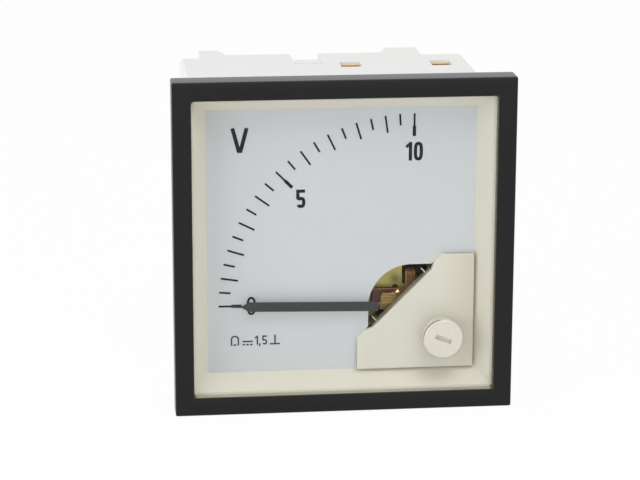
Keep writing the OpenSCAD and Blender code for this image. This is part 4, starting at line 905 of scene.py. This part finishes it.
onArm = fromPivot(lead["onArm"], armLow.y - lead["proud"])
atCoil = fromPivot(lead["atCoil"], coilLow.y - lead["clear"])
curve = bezier(onArm, onArm + np.array(lead["leave"]) * mm, atCoil + np.array(lead["arrive"]) * mm, atCoil)
addPiece("coil.lead", gridMesh("coil.lead", [tube(curve, lead["radius"])]), "moving_coil", "winding_copper")
addPiece("arm.solder", gridMesh("arm.solder", [solderBead(onArm, bead["radius"])]), "moving_coil",
         "tag_tinned")

# pressed ridges along the arm's broad part: straight round bars half set into its face, in the brighter lever
# brass as a painted highlight on the arm's own metal
ridges = dict(count=7, pitch=0.36, top=1.55, start=-6.25, end=-3.1, narrow=0.18, radius=0.11 * mm, points=12)
bars = []
for k in range(ridges["count"]):
    z = ridges["top"] - k * ridges["pitch"]
    x = np.linspace(ridges["start"], ridges["end"] - ridges["narrow"] * abs(z), ridges["points"])
    bar = np.stack([x * mm + pivot.x, np.full_like(x, armLow.y), np.full_like(x, z * mm + pivot.z)], -1)
    bars.append(tube(turned(bar, coil["rest"]), ridges["radius"], 8))
addPiece("arm.ridges", gridMesh("arm.ridges", bars), "moving_coil", "lever_brass")

# folded tab between the arm and the coil: a superellipse that swells and shrinks along Y
tab = dict(x=-0.85, z=2.12, wide=0.55, high=0.34, depth=0.5 * mm, proud=0.25 * mm, power=3.0,
           layers=[(0.0, 0.72), (0.12, 0.93), (0.3, 1.0), (0.7, 1.0), (0.88, 0.93), (1.0, 0.72)])
rings = []
for share, size in tab["layers"]:
    loop = superLoop(tab["x"], tab["z"], tab["wide"] * size, tab["high"] * size, tab["power"], steps=28) * mm
    y = armLow.y - tab["proud"] + share * tab["depth"]
    rings.append(np.stack([pivot.x + loop[:, 0], np.full(len(loop), y), pivot.z + loop[:, 1]], -1))
addPiece("coil.tab", gridMesh("coil.tab", [turned(np.stack(rings), coil["rest"])]), "moving_coil",
         "winding_copper")
print("movement details done")


# stage, light and camera

paper = dict(size=3.0, gap=0.05 * mm, color=0.9, white=0.96)


def whiteRays(tree):
    # 1 for rays from the camera, off a glossy face or through the window
    path = tree.nodes.new("ShaderNodeLightPath")
    seen = combine(tree, "MAXIMUM", path.outputs["Is Camera Ray"], path.outputs["Is Glossy Ray"])
    return combine(tree, "MAXIMUM", seen, path.outputs["Is Transmission Ray"])


def blendShaders(tree, share, under, over, output):
    mix = tree.nodes.new("ShaderNodeMixShader")
    wire(tree, share, mix.inputs[0])
    wire(tree, under.outputs[0], mix.inputs[1])
    wire(tree, over.outputs[0], mix.inputs[2])
    wire(tree, mix.outputs[0], tree.nodes[output].inputs["Surface"])


def stageFloor():
    size = paper["size"]
    z = cadBounds[0][2] - paper["gap"]
    mesh = bpy.data.meshes.new("floor")
    corners = [(-size, -size, z), (size, -size, z), (size, size, z), (-size, size, z)]
    mesh.from_pydata(corners, [], [(0, 1, 2, 3)])
    floor = bpy.data.objects.new("floor", mesh)
    bpy.context.scene.collection.objects.link(floor)
    mat = bpy.data.materials.new("floorPaper")
    mat.use_nodes = True
    tree = mat.node_tree
    shader = tree.nodes["Principled BSDF"]
    shader.inputs["Base Color"].default_value = (paper["color"], paper["color"], paper["color"], 1)
    shader.inputs["Roughness"].default_value = 1
    shader.inputs["Specular IOR Level"].default_value = 0
    glow = tree.nodes.new("ShaderNodeEmission")
    glow.inputs["Color"].default_value = (1, 1, 1, 1)
    glow.inputs["Strength"].default_value = 1
    # the small rest of the paper's own shading keeps the object's shadow
    share = combine(tree, "MULTIPLY", whiteRays(tree), paper["white"])
    blendShaders(tree, share, shader, glow, "Material Output")
    mesh.materials.append(mat)


def studioWorld():
    world = bpy.data.worlds.new("studio")
    bpy.context.scene.world = world
    world.use_nodes = True
    tree = world.node_tree
    soft = tree.nodes["Background"]
    soft.inputs["Color"].default_value = (1, 1, 1, 1)
    soft.inputs["Strength"].default_value = light["world"]
    white = tree.nodes.new("ShaderNodeBackground")
    white.inputs["Color"].default_value = (1, 1, 1, 1)
    white.inputs["Strength"].default_value = 1
    blendShaders(tree, whiteRays(tree), soft, white, "World Output")


def softBox(name, at, aim, size, watts):
    data = bpy.data.lights.new(name, "AREA")
    data.shape, data.size, data.energy = "SQUARE", size, watts
    lamp = bpy.data.objects.new(name, data)
    lamp.location = at
    lamp.rotation_euler = (Vector(aim) - Vector(at)).to_track_quat("-Z", "Y").to_euler()
    bpy.context.scene.collection.objects.link(lamp)


light = dict(world=0.47,
             topBox=dict(at=(0.1, -0.45, 0.95), aim=(0, 0, 0), size=0.8, watts=4.8),
             leftBox=dict(at=(-0.95, -0.6, 0.3), aim=(0, 0, 0), size=0.7, watts=3.9),
             frontBox=dict(at=(0.3, -1.2, 0.3), aim=(0, 0, 0), size=0.8, watts=1.9),
             rimBox=dict(at=(-0.9, 0.45, 0.15), aim=(0, 0.02, 0), size=0.5, watts=2.0))
stageFloor()
studioWorld()
for lampName in ("topBox", "leftBox", "frontBox", "rimBox"):
    softBox(lampName, **light[lampName])

view = dict(azimuth=-0.107, elevation=0.2636, roll=0.0023, distance=507.72 * mm, right=4.731 * mm,
            up=-0.421 * mm, lens=134.79)


def placeCamera():
    a, e, r = view["azimuth"], view["elevation"], view["roll"]
    back = np.array([math.sin(a) * math.cos(e), -math.cos(a) * math.cos(e), math.sin(e)])
    right = np.cross(-back, [0, 0, 1])
    right /= np.linalg.norm(right)
    up = np.cross(right, -back)
    axes = np.array([math.cos(r) * right + math.sin(r) * up, -math.sin(r) * right + math.cos(r) * up, back])
    at = -axes.T @ np.array([view["right"], view["up"], -view["distance"]])
    data = bpy.data.cameras.new("camera")
    data.lens, data.sensor_width, data.sensor_fit = view["lens"], 36, "HORIZONTAL"
    data.clip_start, data.clip_end = 0.01, 20
    camera = bpy.data.objects.new("camera", data)
    camera.matrix_world = Matrix.Translation(at) @ Matrix(axes.T.tolist()).to_4x4()
    bpy.context.scene.collection.objects.link(camera)
    bpy.context.scene.camera = camera


placeCamera()
bpy.context.scene.view_settings.view_transform = "Standard"
print("stage done")
